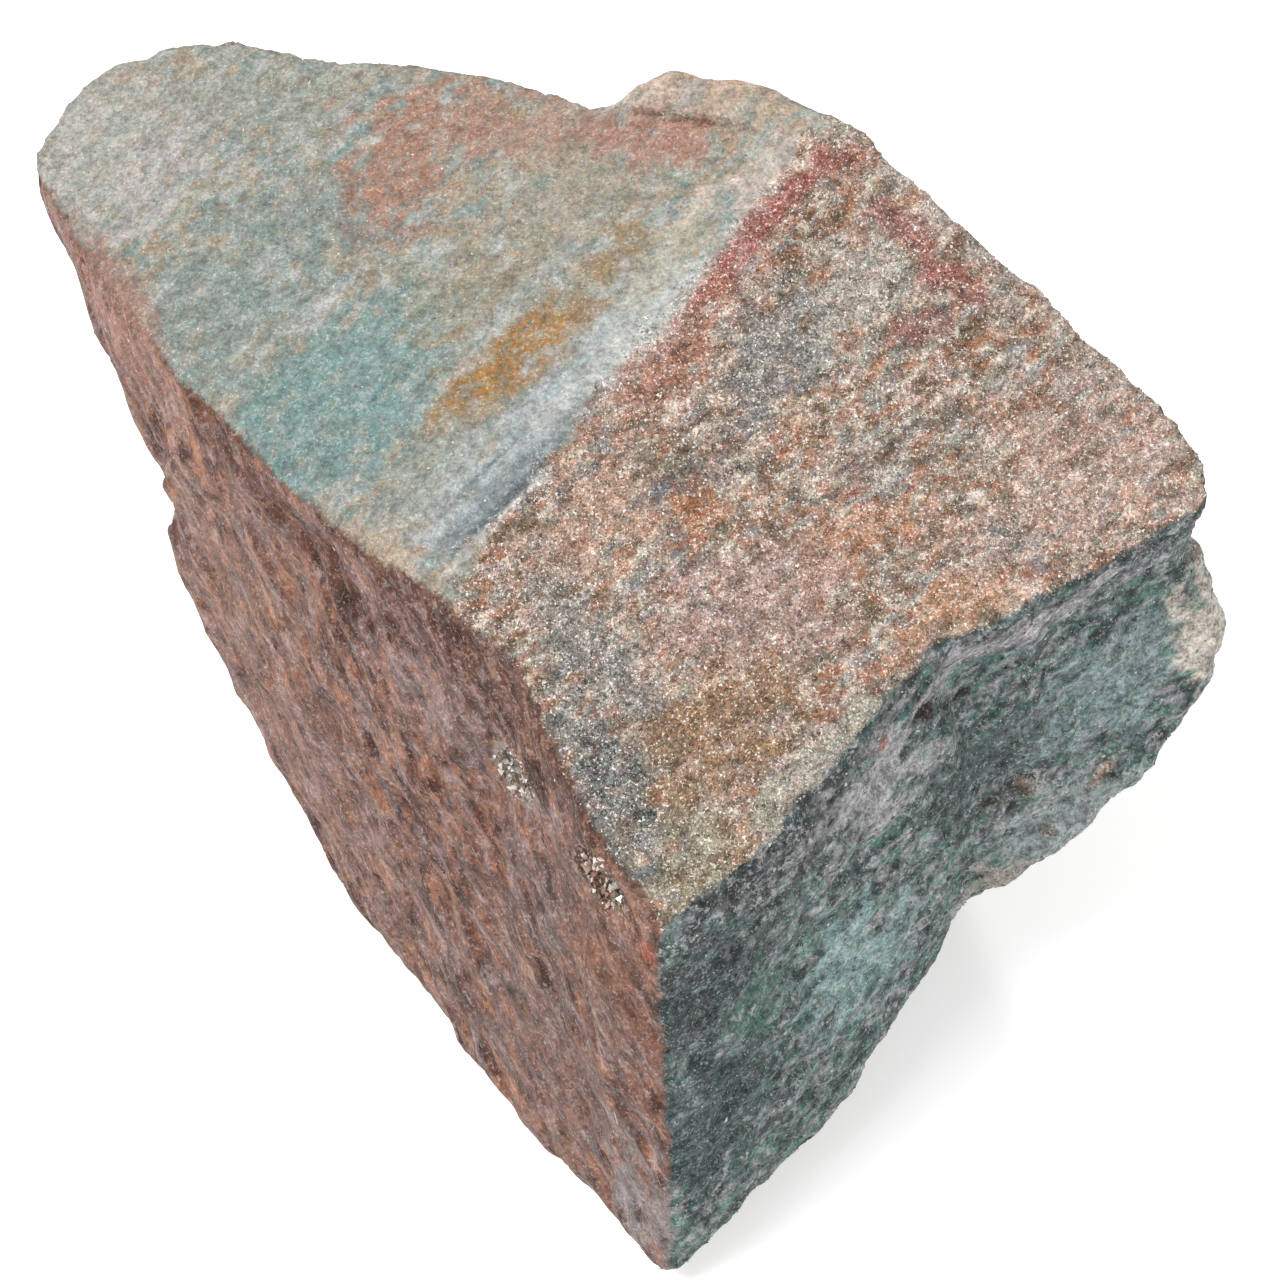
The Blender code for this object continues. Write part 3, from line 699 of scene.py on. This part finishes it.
class Socket:
    """One output of a shader node, on which plain arithmetic works."""

    def __init__(self, bench: "Bench", output: bpy.types.NodeSocket) -> None:
        """Wraps an output that belongs to a bench's material."""
        self.bench = bench
        self.output = output

    def __add__(self, other: "Socket | float") -> "Socket":
        """Adds."""
        return self.bench.maths("ADD", self, other)

    def __sub__(self, other: "Socket | float") -> "Socket":
        """Takes other away."""
        return self.bench.maths("SUBTRACT", self, other)

    def __rsub__(self, other: float) -> "Socket":
        """Takes this away from a number."""
        return self.bench.maths("SUBTRACT", other, self)

    def __mul__(self, other: "Socket | float") -> "Socket":
        """Multiplies."""
        return self.bench.maths("MULTIPLY", self, other)

    __radd__ = __add__
    __rmul__ = __mul__


Value = Socket | float | tuple


class Bench:
    """Where one material's nodes are made and joined."""

    def __init__(self, name: str) -> None:
        """Starts a material that holds a Principled shader alone."""
        self.material = bpy.data.materials.new(name)
        self.material.use_nodes = True
        self.tree = self.material.node_tree
        self.shader = self.tree.nodes["Principled BSDF"]

    def node(self, kind: str, settings: dict | None = None, **inputs: Value) -> bpy.types.Node:
        """Adds a node.

        Args:
            kind: The node's type, without ShaderNode.
            settings: Its settings, set first.
            inputs: Values or links of its sockets, by name with _ for a space, or by _0, _1 for a number.

        Returns:
            The node.
        """
        made = self.tree.nodes.new("ShaderNode" + kind)
        for key, value in (settings or {}).items():
            setattr(made, key, value)
        for key, value in inputs.items():
            self.feed(made.inputs[int(key[1:]) if key[1:].isdigit() else key.replace("_", " ")], value)
        return made

    def feed(self, socket: bpy.types.NodeSocket, value: Value) -> None:
        """Links an input to a socket, or sets its value."""
        if isinstance(value, Socket):
            self.tree.links.new(value.output, socket)
        else:
            socket.default_value = value

    def maths(self, operation: str, first: Value, second: Value = 0.0) -> Socket:
        """Adds a Math node and gives its result."""
        return Socket(self, self.node("Math", {"operation": operation}, _0=first, _1=second).outputs[0])

    def vector(self, operation: str, first: Value, second: Value) -> Socket:
        """Adds a Vector Math node and gives its result."""
        made = self.node("VectorMath", {"operation": operation}, _0=first, _1=second)
        return Socket(self, made.outputs[0])

    def scaled(self, vector: Socket, factor: Value) -> Socket:
        """Makes a vector longer by a factor."""
        made = self.node("VectorMath", {"operation": "SCALE"}, _0=vector, Scale=factor)
        return Socket(self, made.outputs[0])

    def ease(self, value: Socket, low: float, high: float) -> Socket:
        """Eases a value from 0 at low to 1 at high."""
        settings = {"interpolation_type": "SMOOTHSTEP"}
        made = self.node("MapRange", settings, Value=value, From_Min=low, From_Max=high)
        return Socket(self, made.outputs[0])

    def swing(self, value: Socket, reach: float = 0.2) -> Socket:
        """Eases a noise to between -0.5 and 0.5, which it gets to at a reach from its middle."""
        return self.ease(value, 0.5 - reach, 0.5 + reach) - 0.5

    def mix(self, share: Value, first: Value, second: Value) -> Socket:
        """Mixes two colours by a share of the second."""
        settings = {"data_type": "RGBA", "clamp_factor": True}
        return Socket(self, self.node("Mix", settings, _0=share, _6=first, _7=second).outputs[2])

    def place(self) -> Socket:
        """Gives the place on the piece, mm."""
        return self.scaled(Socket(self, self.node("TexCoord").outputs["Object"]), 1.0 / MM)

    def noise(self, place: Socket, scale: float, detail: float, rough: float, output: str = "Fac") -> Socket:
        """Adds a noise texture and gives its value, or its colour where output is Color."""
        made = self.node("TexNoise", None, Vector=place, Scale=scale, Detail=detail, Roughness=rough)
        return Socket(self, made.outputs[output])

    def stretched(self, weave: Socket, scales: Vec, detail: float, rough: float) -> Socket:
        """Adds a noise texture drawn out along the fibres, with a scale for each axis, per mm."""
        return self.noise(self.vector("MULTIPLY", weave, scales), 1.0, detail, rough)

    def attribute(self, name: str, output: str = "Fac") -> Socket:
        """Reads an attribute of the mesh."""
        return Socket(self, self.node("Attribute", {"attribute_name": name}).outputs[output])


@dataclass(frozen=True)
class StoneFinish:
    """The stone's finish: sugary quartz, mica that flashes with real gloss and with glints painted into its
    colour, and fibres along the layers.

    Attributes:
        crystal: Width of a crystal face that catches the light, mm.
        contrast: How unlike neighbouring grains are in brightness.
        hue: How unlike they are in red, green and blue.
        facet: How far a crystal face turns away from the surface.
        bump: Height of the grains in the bump, mm.
        specks: How far the grains between take their own colour.
        threads: How pale the threads along the fibres are, and thread its colour.
        flashes: How far a grain that flashes takes the colour flash, a painted glint in its base colour.
        dull: Roughness of the dullest grains, and smooth that of the clearest.
        darkest: The least light that a grain throws back, against the usual.
    """

    crystal: float = 0.2
    contrast: float = 0.95
    hue: Vec = (0.4, 0.22, 0.36)
    facet: float = 0.5
    bump: float = 0.12
    specks: float = 0.7
    threads: float = 0.14
    thread: tuple[float, float, float, float] = (0.5, 0.48, 0.47, 1.0)
    flashes: float = 0.75
    flash: tuple[float, float, float, float] = (0.85, 0.82, 0.78, 1.0)
    dull: float = 0.68
    smooth: float = 0.15
    darkest: float = 0.15

    def material(self, name: str) -> bpy.types.Material:
        """Makes the material.

        Args:
            name: The material's name.

        Returns:
            The material, which reads the attributes stain, speck, weave, grit, fibre and glint.
        """
        bench = Bench(name)
        place = bench.place()
        weave = bench.attribute("weave", "Vector")
        grit, fibre, glint = (bench.attribute(kind) for kind in ("grit", "fibre", "glint"))

        sugar = bench.noise(place, 3.0, 2.0, 0.75)
        mineral = bench.noise(bench.vector("ADD", place, (11.0, 47.0, 5.0)), 2.0, 3.0, 0.72)
        flecks = bench.noise(bench.vector("ADD", place, (31.0, 7.0, 3.0)), 5.0, 1.0, 0.6)
        coarse = bench.noise(place, 0.9, 3.0, 0.62)
        bands = bench.stretched(weave, (0.26, 1.0, 0.6), 3.0, 0.62)
        hair = bench.stretched(weave, (0.6, 2.3, 1.6), 2.0, 0.7)
        course = bench.stretched(weave, (0.3, 1.5, 1.0), 2.0, 0.65)
        thread = (1.0 - bench.ease(bench.maths("ABSOLUTE", course - 0.5), 0.0, 0.03)) * fibre

        between = bench.ease(mineral + (hair + bands - 1.0) * fibre * 0.6, 0.5, 0.6)
        stain, speck = (bench.attribute(kind, "Color") for kind in ("stain", "speck"))
        colour = bench.mix(between * self.specks, stain, speck)
        light = bench.swing(sugar) * (self.contrast * (0.4 + 0.6 * grit))
        light = light + bench.swing(hair) * fibre * 0.24
        light = light + bench.swing(bands, 0.18) * fibre * 0.7
        light = light + bench.swing(coarse) * (0.25 + 0.45 * grit)
        light = bench.maths("MAXIMUM", 1.0 + light, self.darkest)
        tint = bench.vector("SUBTRACT", bench.noise(place, 2.2, 2.0, 0.65, "Color"), (0.5, 0.5, 0.5))
        tint = bench.vector("ADD", bench.vector("MULTIPLY", tint, self.hue), (1.0, 1.0, 1.0))
        colour = bench.scaled(bench.vector("MULTIPLY", colour, tint), light)
        colour = bench.mix(thread * self.threads, colour, self.thread)
        # Painted glints: grains that flash get a near-white colour mixed into their base colour; the same
        # mask also makes them glossier.
        flash = bench.ease(flecks + (coarse - 0.5) * 0.35, 0.6, 0.7) * glint
        colour = bench.mix(flash * self.flashes, colour, self.flash)

        faces = bench.node("TexVoronoi", {"feature": "F1"}, Vector=place, Scale=1.0 / self.crystal)
        turned = bench.vector("SUBTRACT", Socket(bench, faces.outputs["Color"]), (0.5, 0.5, 0.5))
        turn = Socket(bench, bench.node("SeparateColor", None, Color=turned).outputs[0])
        tilt = bench.scaled(turned, (0.2 + 0.8 * grit) * self.facet)
        normal = bench.vector("ADD", Socket(bench, bench.node("NewGeometry").outputs["Normal"]), tilt)
        normal = bench.vector("NORMALIZE", normal, (0.0, 0.0, 0.0))
        height = sugar * (0.7 + 1.7 * grit) + hair * (0.2 + 0.9 * fibre)
        bumped = bench.node("Bump", None, Height=height, Distance=self.bump * MM, Strength=1.0,
                            Normal=normal)

        rough = bench.maths("MAXIMUM", self.dull - flash * 0.4 - turn * 0.3, self.smooth)
        bench.feed(bench.shader.inputs["Base Color"], colour)
        bench.feed(bench.shader.inputs["Roughness"], rough)
        bench.feed(bench.shader.inputs["Normal"], Socket(bench, bumped.outputs[0]))
        bench.shader.inputs["Specular IOR Level"].default_value = 0.3
        return bench.material


def deselect() -> None:
    """Clears the selection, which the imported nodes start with."""
    bpy.ops.object.select_all(action="DESELECT")


def pick(piece: bpy.types.Object) -> None:
    """Makes a piece the only one that operators act on."""
    deselect()
    piece.select_set(True)
    bpy.context.view_layer.objects.active = piece


def places_of(mesh: bpy.types.Mesh, field: str = "co") -> np.ndarray:
    """Reads a vector of each vertex of a mesh, one row each."""
    values = np.empty(len(mesh.vertices) * 3, dtype=np.float32)
    if field == "co":
        mesh.vertices.foreach_get("co", values)
    else:
        mesh.vertex_normals.foreach_get("vector", values)
    return values.reshape(-1, 3).astype(float)


def write_attributes(mesh: bpy.types.Mesh, painted: dict[str, np.ndarray]) -> None:
    """Stores colours and values of the vertices as attributes of a mesh.

    Args:
        mesh: The mesh.
        painted: A row for each vertex, by the attribute's name: three columns for a colour.
    """
    for name, values in painted.items():
        if name == "weave":
            attribute = mesh.attributes.new(name, "FLOAT_VECTOR", "POINT")
            attribute.data.foreach_set("vector", values.astype(np.float32).ravel())
        elif values.ndim == 2:
            attribute = mesh.attributes.new(name, "FLOAT_COLOR", "POINT")
            rows = np.column_stack((values, np.ones(len(values))))
            attribute.data.foreach_set("color", rows.astype(np.float32).ravel())
        else:
            attribute = mesh.attributes.new(name, "FLOAT", "POINT")
            attribute.data.foreach_set("value", values.astype(np.float32))


@dataclass
class Ground:
    """What the crystals need to know about the skin that they stand on.

    Attributes:
        places: Its vertices, mm, and normals their directions.
        triangles: Its triangles by their vertices, and areas how large they are, mm2.
        shares: How much each face counts at its vertices.
        stain: The colour of its vertices, and speck that of their specks.
    """

    places: np.ndarray
    normals: np.ndarray
    triangles: np.ndarray
    areas: np.ndarray
    shares: dict[Face, np.ndarray]
    stain: np.ndarray
    speck: np.ndarray

    @classmethod
    def of(
        cls, skin: bpy.types.Object, shares: dict[Face, np.ndarray], painted: dict[str, np.ndarray]
    ) -> "Ground":
        """Reads the ground off a finished skin.

        Args:
            skin: The skin.
            shares: How much each face counts at its vertices.
            painted: The attributes of its vertices.

        Returns:
            The ground.
        """
        mesh = skin.data
        mesh.calc_loop_triangles()
        corners = np.empty(len(mesh.loop_triangles) * 3, dtype=np.int32)
        mesh.loop_triangles.foreach_get("vertices", corners)
        triangles = corners.reshape(-1, 3)
        places = places_of(mesh) / MM
        first, second, third = (places[triangles[:, i]] for i in range(3))
        areas = 0.5 * np.linalg.norm(np.cross(second - first, third - first), axis=1)
        normals = places_of(mesh, "normal")
        return cls(places, normals, triangles, areas, shares, painted["stain"], painted["speck"])


@dataclass
class StoneSkin:
    """The stone's whole outside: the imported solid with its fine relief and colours.

    Attributes:
        rock: What gives it its relief and colours.
        finish: Its finish.
        cell: Edge of a square of the even mesh, mm.
        weld: How near to each other corners become one, mm.
        evening: Rounds that take the solid's flat triangles out of the skin.
        pull: How far each of them moves a vertex towards the middle of its neighbours.
        foot: Height over which the relief grows above the flat spot, mm.
        ground: What the crystals stand on, once the skin is built.
    """

    rock: Rock
    finish: StoneFinish
    cell: float = 0.44
    weld: float = 0.001
    evening: int = 4
    pull: float = 0.5
    foot: float = 0.6
    ground: Ground | None = None

    def build(self) -> bpy.types.Object:
        """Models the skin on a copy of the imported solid.

        Returns:
            The skin, with its attributes.
        """
        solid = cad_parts[STONE_NODE]
        skin = bpy.data.objects.new("stone_skin", solid.data.copy())
        bpy.context.scene.collection.objects.link(skin)
        pick(skin)
        bpy.ops.object.mode_set(mode="EDIT")
        bpy.ops.mesh.select_all(action="SELECT")
        bpy.ops.mesh.remove_doubles(threshold=self.weld * MM)
        bpy.ops.object.mode_set(mode="OBJECT")
        even = skin.modifiers.new("even mesh", "REMESH")
        even.mode = "VOXEL"
        even.voxel_size = self.cell * MM
        bpy.ops.object.modifier_apply(modifier=even.name)
        soft = skin.modifiers.new("soft", "SMOOTH")
        soft.factor = self.pull
        soft.iterations = self.evening
        bpy.ops.object.modifier_apply(modifier=soft.name)
        shares, painted = self.carve(skin.data)
        bpy.ops.object.shade_smooth()
        self.ground = Ground.of(skin, shares, painted)
        return skin

    def carve(self, mesh: bpy.types.Mesh) -> tuple[dict[Face, np.ndarray], dict[str, np.ndarray]]:
        """Gives the even mesh its relief and its colours.

        Args:
            mesh: The mesh.

        Returns:
            How much each face counts at the vertices, and the vertices' attributes.
        """
        places = places_of(mesh) / MM
        normals = places_of(mesh, "normal")
        shares = self.rock.face_shares(places, normals)
        woven = self.rock.weave(places, shares)
        ties = np.empty(len(mesh.edges) * 2, dtype=np.int32)
        mesh.edges.foreach_get("vertices", ties)
        ties = ties.reshape(-1, 2)
        height = self.rock.relief(places, woven, shares, ties)
        height *= smooth(places[:, 2], 0.0, self.foot)
        painted = self.rock.paint(places, woven, shares)
        painted["fibre"] = self.rock.fibre(shares, ties)
        moved = (places + normals * height[:, None]) * MM
        moved[:, 2] = np.maximum(moved[:, 2], 0.0)
        mesh.vertices.foreach_set("co", moved.astype(np.float32).ravel())
        mesh.update()
        write_attributes(mesh, painted)
        return shares, painted

    def dress(self, skin: bpy.types.Object) -> None:
        """Gives the skin its finish and its place in the frame."""
        skin.data.materials.clear()
        skin.data.materials.append(self.finish.material("fuchsite_quartzite"))
        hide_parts(STONE_NODE)
        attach(skin, BODY)


@dataclass(frozen=True)
class CrystalFinish:
    """The finish of single crystals: clean faces that flash, in the colour that each crystal carries.

    Attributes:
        smoothest: Roughness of the cleanest crystals.
        dullest: Roughness of the dullest ones.
        film: How much of a clear coat lies on them.
    """

    smoothest: float = 0.14
    dullest: float = 0.6
    film: float = 0.0

    def material(self, name: str) -> bpy.types.Material:
        """Makes the material, which reads the attributes stain and dull.

        Args:
            name: The material's name.

        Returns:
            The material.
        """
        bench = Bench(name)
        light = 1.0 + bench.swing(bench.noise(bench.place(), 6.0, 2.0, 0.6)) * 0.4
        colour = bench.scaled(bench.attribute("stain", "Color"), light)
        dull = bench.attribute("dull")
        bench.feed(bench.shader.inputs["Base Color"], colour)
        bench.feed(bench.shader.inputs["Roughness"], self.smoothest + dull * (self.dullest - self.smoothest))
        bench.shader.inputs["Coat Weight"].default_value = self.film
        return bench.material


class CrystalShape(Enum):
    """The shapes of crystals, each as its corners and its faces."""

    SPLINTER = (
        ((1.1, 0.0, -0.4), (-0.6, 1.0, -0.4), (-0.6, -1.0, -0.4), (0.0, 0.0, 1.2)),
        ((0, 1, 3), (1, 2, 3), (2, 0, 3), (0, 2, 1)),
    )
    CHIP = (
        ((1, 0, 0), (-1, 0, 0), (0, 1, 0), (0, -1, 0), (0, 0, 1), (0, 0, -1)),
        ((0, 2, 4), (2, 1, 4), (1, 3, 4), (3, 0, 4), (2, 0, 5), (1, 2, 5), (3, 1, 5), (0, 3, 5)),
    )


# Near white of the pale crystals: partly milky quartz, partly a painted glint that stands in for the light
# they flash.
MILKY_AND_GLINT = tone((228, 222, 212))
SMOKY = tone((60, 50, 44))


@dataclass
class Crust:
    """Crystals of one kind that stand out of the skin, all in one mesh.

    Attributes:
        name: The piece's name.
        shape: Their shape before chance bends it.
        homes: How many crystals each face takes, against its area.
        count: How many crystals there are.
        size: Half of a crystal's length along the fibres, width across them and height, mm.
        tumble: 0 where all crystals follow the fibres, and above 1 where they lie in any direction.
        sink: How deep a crystal's middle lies below the skin, in heights.
        seed: Picks where they stand.
        vary: How unlike their sizes are.
        speck_share: How many take the speck colour in place of the stain.
        pale_share: How many are clear or milky, near white, which also serve as painted glints.
        dark_share: How many are dark.
        finish: Their finish.
        spots: Places that they keep to, each with its reach in mm, or nothing where they stand all over.
        largest: How far one may stray above the usual size, in deviations.
        bend: The least and the most that a corner's reach is multiplied by.
        skew: How far a corner strays, in half sizes.
        bright: The least and the most that a crystal's colour is multiplied by.
        tinge: The same for its red, green and blue apart.
        milk_and_glint: How far a pale crystal takes the near-white colour, partly milky quartz and partly a
            painted glint, and smoke a dark one that of smoke.
        clearance: The least height of a corner over the floor, mm.
    """

    name: str
    shape: CrystalShape
    homes: dict[Face, float]
    count: int
    size: Vec
    tumble: float
    sink: float
    seed: int
    vary: float = 0.35
    speck_share: float = 0.35
    pale_share: float = 0.08
    dark_share: float = 0.08
    finish: CrystalFinish = CrystalFinish()
    spots: tuple[tuple[Vec, float], ...] = ()
    largest: float = 1.5
    bend: tuple[float, float] = (0.7, 1.2)
    skew: float = 0.3
    bright: tuple[float, float] = (0.72, 1.36)
    tinge: tuple[float, float] = (0.93, 1.07)
    milk_and_glint: float = 0.65
    smoke: float = 0.7
    clearance: float = 0.02

    def stands(self, ground: Ground, rng: np.random.Generator) -> tuple[np.ndarray, np.ndarray]:
        """Chooses a triangle of the skin and a place within it for each crystal.

        Args:
            ground: The skin.
            rng: The source of chance.

        Returns:
            The triangles' corners and the corners' weights, one row for each crystal.
        """
        liking = sum(weight * ground.shares[face] for face, weight in self.homes.items())
        if self.spots:
            near = np.zeros(len(ground.places))
            for at, reach in self.spots:
                away = np.linalg.norm(ground.places - np.array(at), axis=1)
                near = np.maximum(near, smooth(away, reach, 0.6 * reach))
            liking = liking * near
        weight = ground.areas * np.maximum(liking[ground.triangles].mean(axis=1) - 0.02, 0.0)
        chosen = ground.triangles[rng.choice(len(weight), self.count, p=weight / weight.sum())]
        shares = rng.dirichlet((1.0, 1.0, 1.0), self.count)
        return chosen, shares

    def turns(self, normals: np.ndarray, fibres: np.ndarray, rng: np.random.Generator) -> np.ndarray:
        """Gives each crystal its own axes: along it, across it and out of the rock.

        Args:
            normals: The skin's direction under each crystal.
            fibres: The direction of the fibres there.
            rng: The source of chance.

        Returns:
            Three rows of axes for each crystal.
        """
        out = normals + self.tumble * rng.normal(size=normals.shape)
        out /= np.linalg.norm(out, axis=1)[:, None]
        along = fibres + self.tumble * rng.normal(size=normals.shape)
        along -= out * np.sum(out * along, axis=1)[:, None]
        along /= np.linalg.norm(along, axis=1)[:, None]
        return np.stack((along, np.cross(out, along), out), axis=1)

    def colours(self, stain: np.ndarray, speck: np.ndarray, rng: np.random.Generator) -> np.ndarray:
        """Gives each crystal its colour, from those of the rock under it.

        Args:
            stain: The rock's colour under each crystal.
            speck: The colour of its specks there.
            rng: The source of chance.

        Returns:
            One colour for each crystal.
        """
        chance = rng.random(self.count)
        colour = np.where((chance < self.speck_share)[:, None], speck, stain)
        colour = colour * rng.uniform(*self.bright, (self.count, 1))
        colour = colour * rng.uniform(*self.tinge, (self.count, 3))
        pale = chance > 1.0 - self.pale_share
        dark = (chance > 1.0 - self.pale_share - self.dark_share) & ~pale
        # Pale crystals are painted near white, partly as painted glints.
        colour[pale] = blend(colour[pale], MILKY_AND_GLINT, self.milk_and_glint)
        colour[dark] = blend(colour[dark], SMOKY, self.smoke)
        return colour

    def build(self, ground: Ground) -> bpy.types.Object:
        """Grows the crystals.

        Args:
            ground: The skin that they stand on.

        Returns:
            The mesh object that holds them all.
        """
        rng = np.random.default_rng(self.seed)
        corners, weights = self.stands(ground, rng)
        at, normals, stain, speck = (
            np.einsum("ij,ijk->ik", weights, field[corners])
            for field in (ground.places, ground.normals, ground.stain, ground.speck)
        )
        fibres = np.array([FACES[face].axes()[0] for face in ground.shares])
        axes = self.turns(normals, fibres[strongest(ground.shares)[corners[:, 0]]], rng)
        stray = np.minimum(rng.normal(size=self.count), self.largest)
        scale = np.exp(self.vary * stray)[:, None] * np.array(self.size)
        corners_of, faces_of = (np.array(part) for part in self.shape.value)
        points_each = len(corners_of)
        bent = corners_of * rng.uniform(*self.bend, (self.count, points_each, 1))
        bent += rng.uniform(-self.skew, self.skew, (self.count, points_each, 3))
        lifted = at - normals * (self.sink * scale[:, 2:])
        points = np.einsum("nij,njk->nik", bent * scale[:, None, :], axes) + lifted[:, None, :]
        points = points.reshape(-1, 3)
        points[:, 2] = np.maximum(points[:, 2], self.clearance)
        faces = (faces_of[None] + points_each * np.arange(self.count)[:, None, None]).reshape(-1, 3)
        mesh = bpy.data.meshes.new(self.name)
        mesh.from_pydata((points * MM).tolist(), [], faces.tolist())
        colour = np.repeat(self.colours(stain, speck, rng), points_each, axis=0)
        dull = np.repeat(rng.random(self.count) ** 0.7, points_each)
        write_attributes(mesh, {"stain": colour, "dull": dull})
        mesh.update()
        crystals = bpy.data.objects.new(self.name, mesh)
        bpy.context.scene.collection.objects.link(crystals)
        return crystals

    def dress(self, crystals: bpy.types.Object) -> None:
        """Gives the crystals their finish and their place in the frame."""
        crystals.data.materials.append(self.finish.material(self.name + "_finish"))
        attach(crystals, BODY)


CRUSTS = (
    Crust(
        "sugar_grains", CrystalShape.SPLINTER, {Face.GRANULAR_TOP: 1.0}, 40000, (0.11, 0.09, 0.08),
        tumble=1.5, sink=0.45, seed=101, pale_share=0.1, dark_share=0.07,
    ),
    Crust(
        "fine_sugar_grains", CrystalShape.SPLINTER, {Face.GRANULAR_TOP: 1.0}, 48000, (0.085, 0.07, 0.07),
        tumble=1.5, sink=0.1, seed=106, pale_share=0.13, dark_share=0.05,
    ),
    Crust(
        "banded_grains", CrystalShape.SPLINTER, {Face.BANDED_TOP: 1.0, Face.BACK: 0.25}, 20000,
        (0.12, 0.08, 0.05), tumble=0.4, sink=0.65, seed=102, pale_share=0.05, dark_share=0.02,
    ),
    Crust(
        "rose_slivers", CrystalShape.CHIP, {Face.ROSE_SIDE: 1.0, Face.BACK: 0.2}, 6000, (0.36, 0.1, 0.07),
        tumble=0.06, sink=0.85, seed=103, speck_share=0.3, pale_share=0.01, dark_share=0.1,
    ),
    Crust(
        "green_flakes", CrystalShape.CHIP, {Face.GREEN_SIDE: 1.0, Face.BACK: 0.2, Face.UNDERSIDE: 0.3},
        10000, (0.14, 0.09, 0.04), tumble=0.5, sink=0.3, seed=104, vary=0.4, speck_share=0.15,
        pale_share=0.02, dark_share=0.3,
    ),
    Crust(
        "pocket_crystals", CrystalShape.CHIP, {Face.ROSE_SIDE: 1.0}, 700, (0.19, 0.16, 0.15),
        tumble=1.6, sink=0.2, seed=105, vary=0.45, pale_share=0.22, dark_share=0.2,
        finish=CrystalFinish(0.05, 0.35, 0.6),
        spots=(((-6.3, -16.1, 34.8), 2.1), ((-1.2, -23.9, 36.2), 2.3)),
    ),
)


@dataclass
class Studio:
    """The floor, the lights and the camera.

    Attributes:
        aim: What the camera looks at, mm.
        distance: How far the camera is from it, mm.
        elevation: How far the camera looks down, degrees.
        lens: The camera's focal length, and sensor the width of its picture, mm.
        near: What is nearer to the camera than this isn't shown, m.
        floor_half: Half the floor's width, mm.
        paper: How pale the floor is, and glow how much light it gives off itself.
        middle: What the lights point at, mm.
        lamps: Each light's name, place in mm, edge in mm and power in watts.
        sky: Strength of the light from all around.
    """

    aim: Vec = (1.155, -5.916, 34.0)
    distance: float = 190.0
    elevation: float = 58.0
    lens: float = 85.0
    sensor: float = 36.0
    near: float = 0.01
    floor_half: float = 1500.0
    paper: float = 0.86
    glow: float = 0.3
    middle: Vec = (0.0, 0.0, 25.0)
    lamps: tuple[tuple[str, Vec, float, float], ...] = (
        ("key", (-300.0, -60.0, 600.0), 260.0, 3.4),
        ("fill", (420.0, -420.0, 420.0), 260.0, 0.9),
        ("back glint", (160.0, 420.0, 420.0), 60.0, 0.8),
        ("side glint", (-420.0, 160.0, 380.0), 50.0, 0.5),
        ("front glint", (60.0, -500.0, 240.0), 50.0, 0.4),
    )
    sky: float = 0.6

    def floor(self) -> bpy.types.Object:
        """Lays the plain pale floor."""
        deselect()
        bpy.ops.mesh.primitive_plane_add(size=2.0 * self.floor_half * MM)
        floor = bpy.context.active_object
        floor.name = "floor"
        bench = Bench("pale_paper")
        bench.shader.inputs["Base Color"].default_value = (self.paper, self.paper, self.paper, 1.0)
        bench.shader.inputs["Emission Color"].default_value = (1.0, 1.0, 1.0, 1.0)
        bench.shader.inputs["Emission Strength"].default_value = self.glow
        bench.shader.inputs["Roughness"].default_value = 0.9
        floor.data.materials.append(bench.material)
        return floor

    def light(self, name: str, at: Vec, size: float, power: float) -> None:
        """Hangs a square soft light that points at the stone.

        Args:
            name: The light's name.
            at: Its place, mm.
            size: Its edge, mm.
            power: Its power in watts.
        """
        lamp = bpy.data.lights.new(name, "AREA")
        lamp.size = size * MM
        lamp.energy = power
        hung = bpy.data.objects.new(name, lamp)
        hung.location = Vector(at) * MM
        hung.rotation_euler = (Vector(self.middle) * MM - hung.location).to_track_quat("-Z", "Y").to_euler()
        bpy.context.scene.collection.objects.link(hung)

    def lights(self) -> None:
        """Sets soft light from above and a few small lights that the grains flash in."""
        world = bpy.data.worlds.new("studio")
        world.use_nodes = True
        sky = world.node_tree.nodes["Background"]
        sky.inputs["Color"].default_value = (1.0, 1.0, 1.0, 1.0)
        sky.inputs["Strength"].default_value = self.sky
        bpy.context.scene.world = world
        for lamp in self.lamps:
            self.light(*lamp)

    def camera(self) -> None:
        """Sets the camera at the photograph's viewing angle."""
        lift = math.radians(self.elevation)
        look = Vector((0.0, math.cos(lift), -math.sin(lift)))
        shot = bpy.data.cameras.new("camera")
        shot.lens = self.lens
        shot.sensor_width = self.sensor
        shot.clip_start = self.near
        seat = bpy.data.objects.new("camera", shot)
        seat.location = (Vector(self.aim) - look * self.distance) * MM
        seat.rotation_euler = look.to_track_quat("-Z", "Y").to_euler()
        bpy.context.scene.collection.objects.link(seat)
        bpy.context.scene.camera = seat

    def build(self) -> None:
        """Sets up the whole studio."""
        self.floor()
        self.lights()
        self.camera()
        bpy.context.scene.view_settings.view_transform = "Standard"


def write_sizes() -> None:
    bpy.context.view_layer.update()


def main() -> None:
    """Builds every piece in order and reports it."""
    logging.basicConfig(level=logging.INFO, format="%(name)s: %(message)s")
    Studio().build()
    LOG.info("studio is up")
    rock = Rock()
    skin_maker = StoneSkin(rock, StoneFinish())
    skin = skin_maker.build()
    skin_maker.dress(skin)
    LOG.info("skin has %d faces", len(skin.data.polygons))
    for crust in CRUSTS:
        crystals = crust.build(skin_maker.ground)
        crust.dress(crystals)
        LOG.info("%s has %d faces", crust.name, len(crystals.data.polygons))
    write_sizes()


if __name__ == "__main__":
    main()
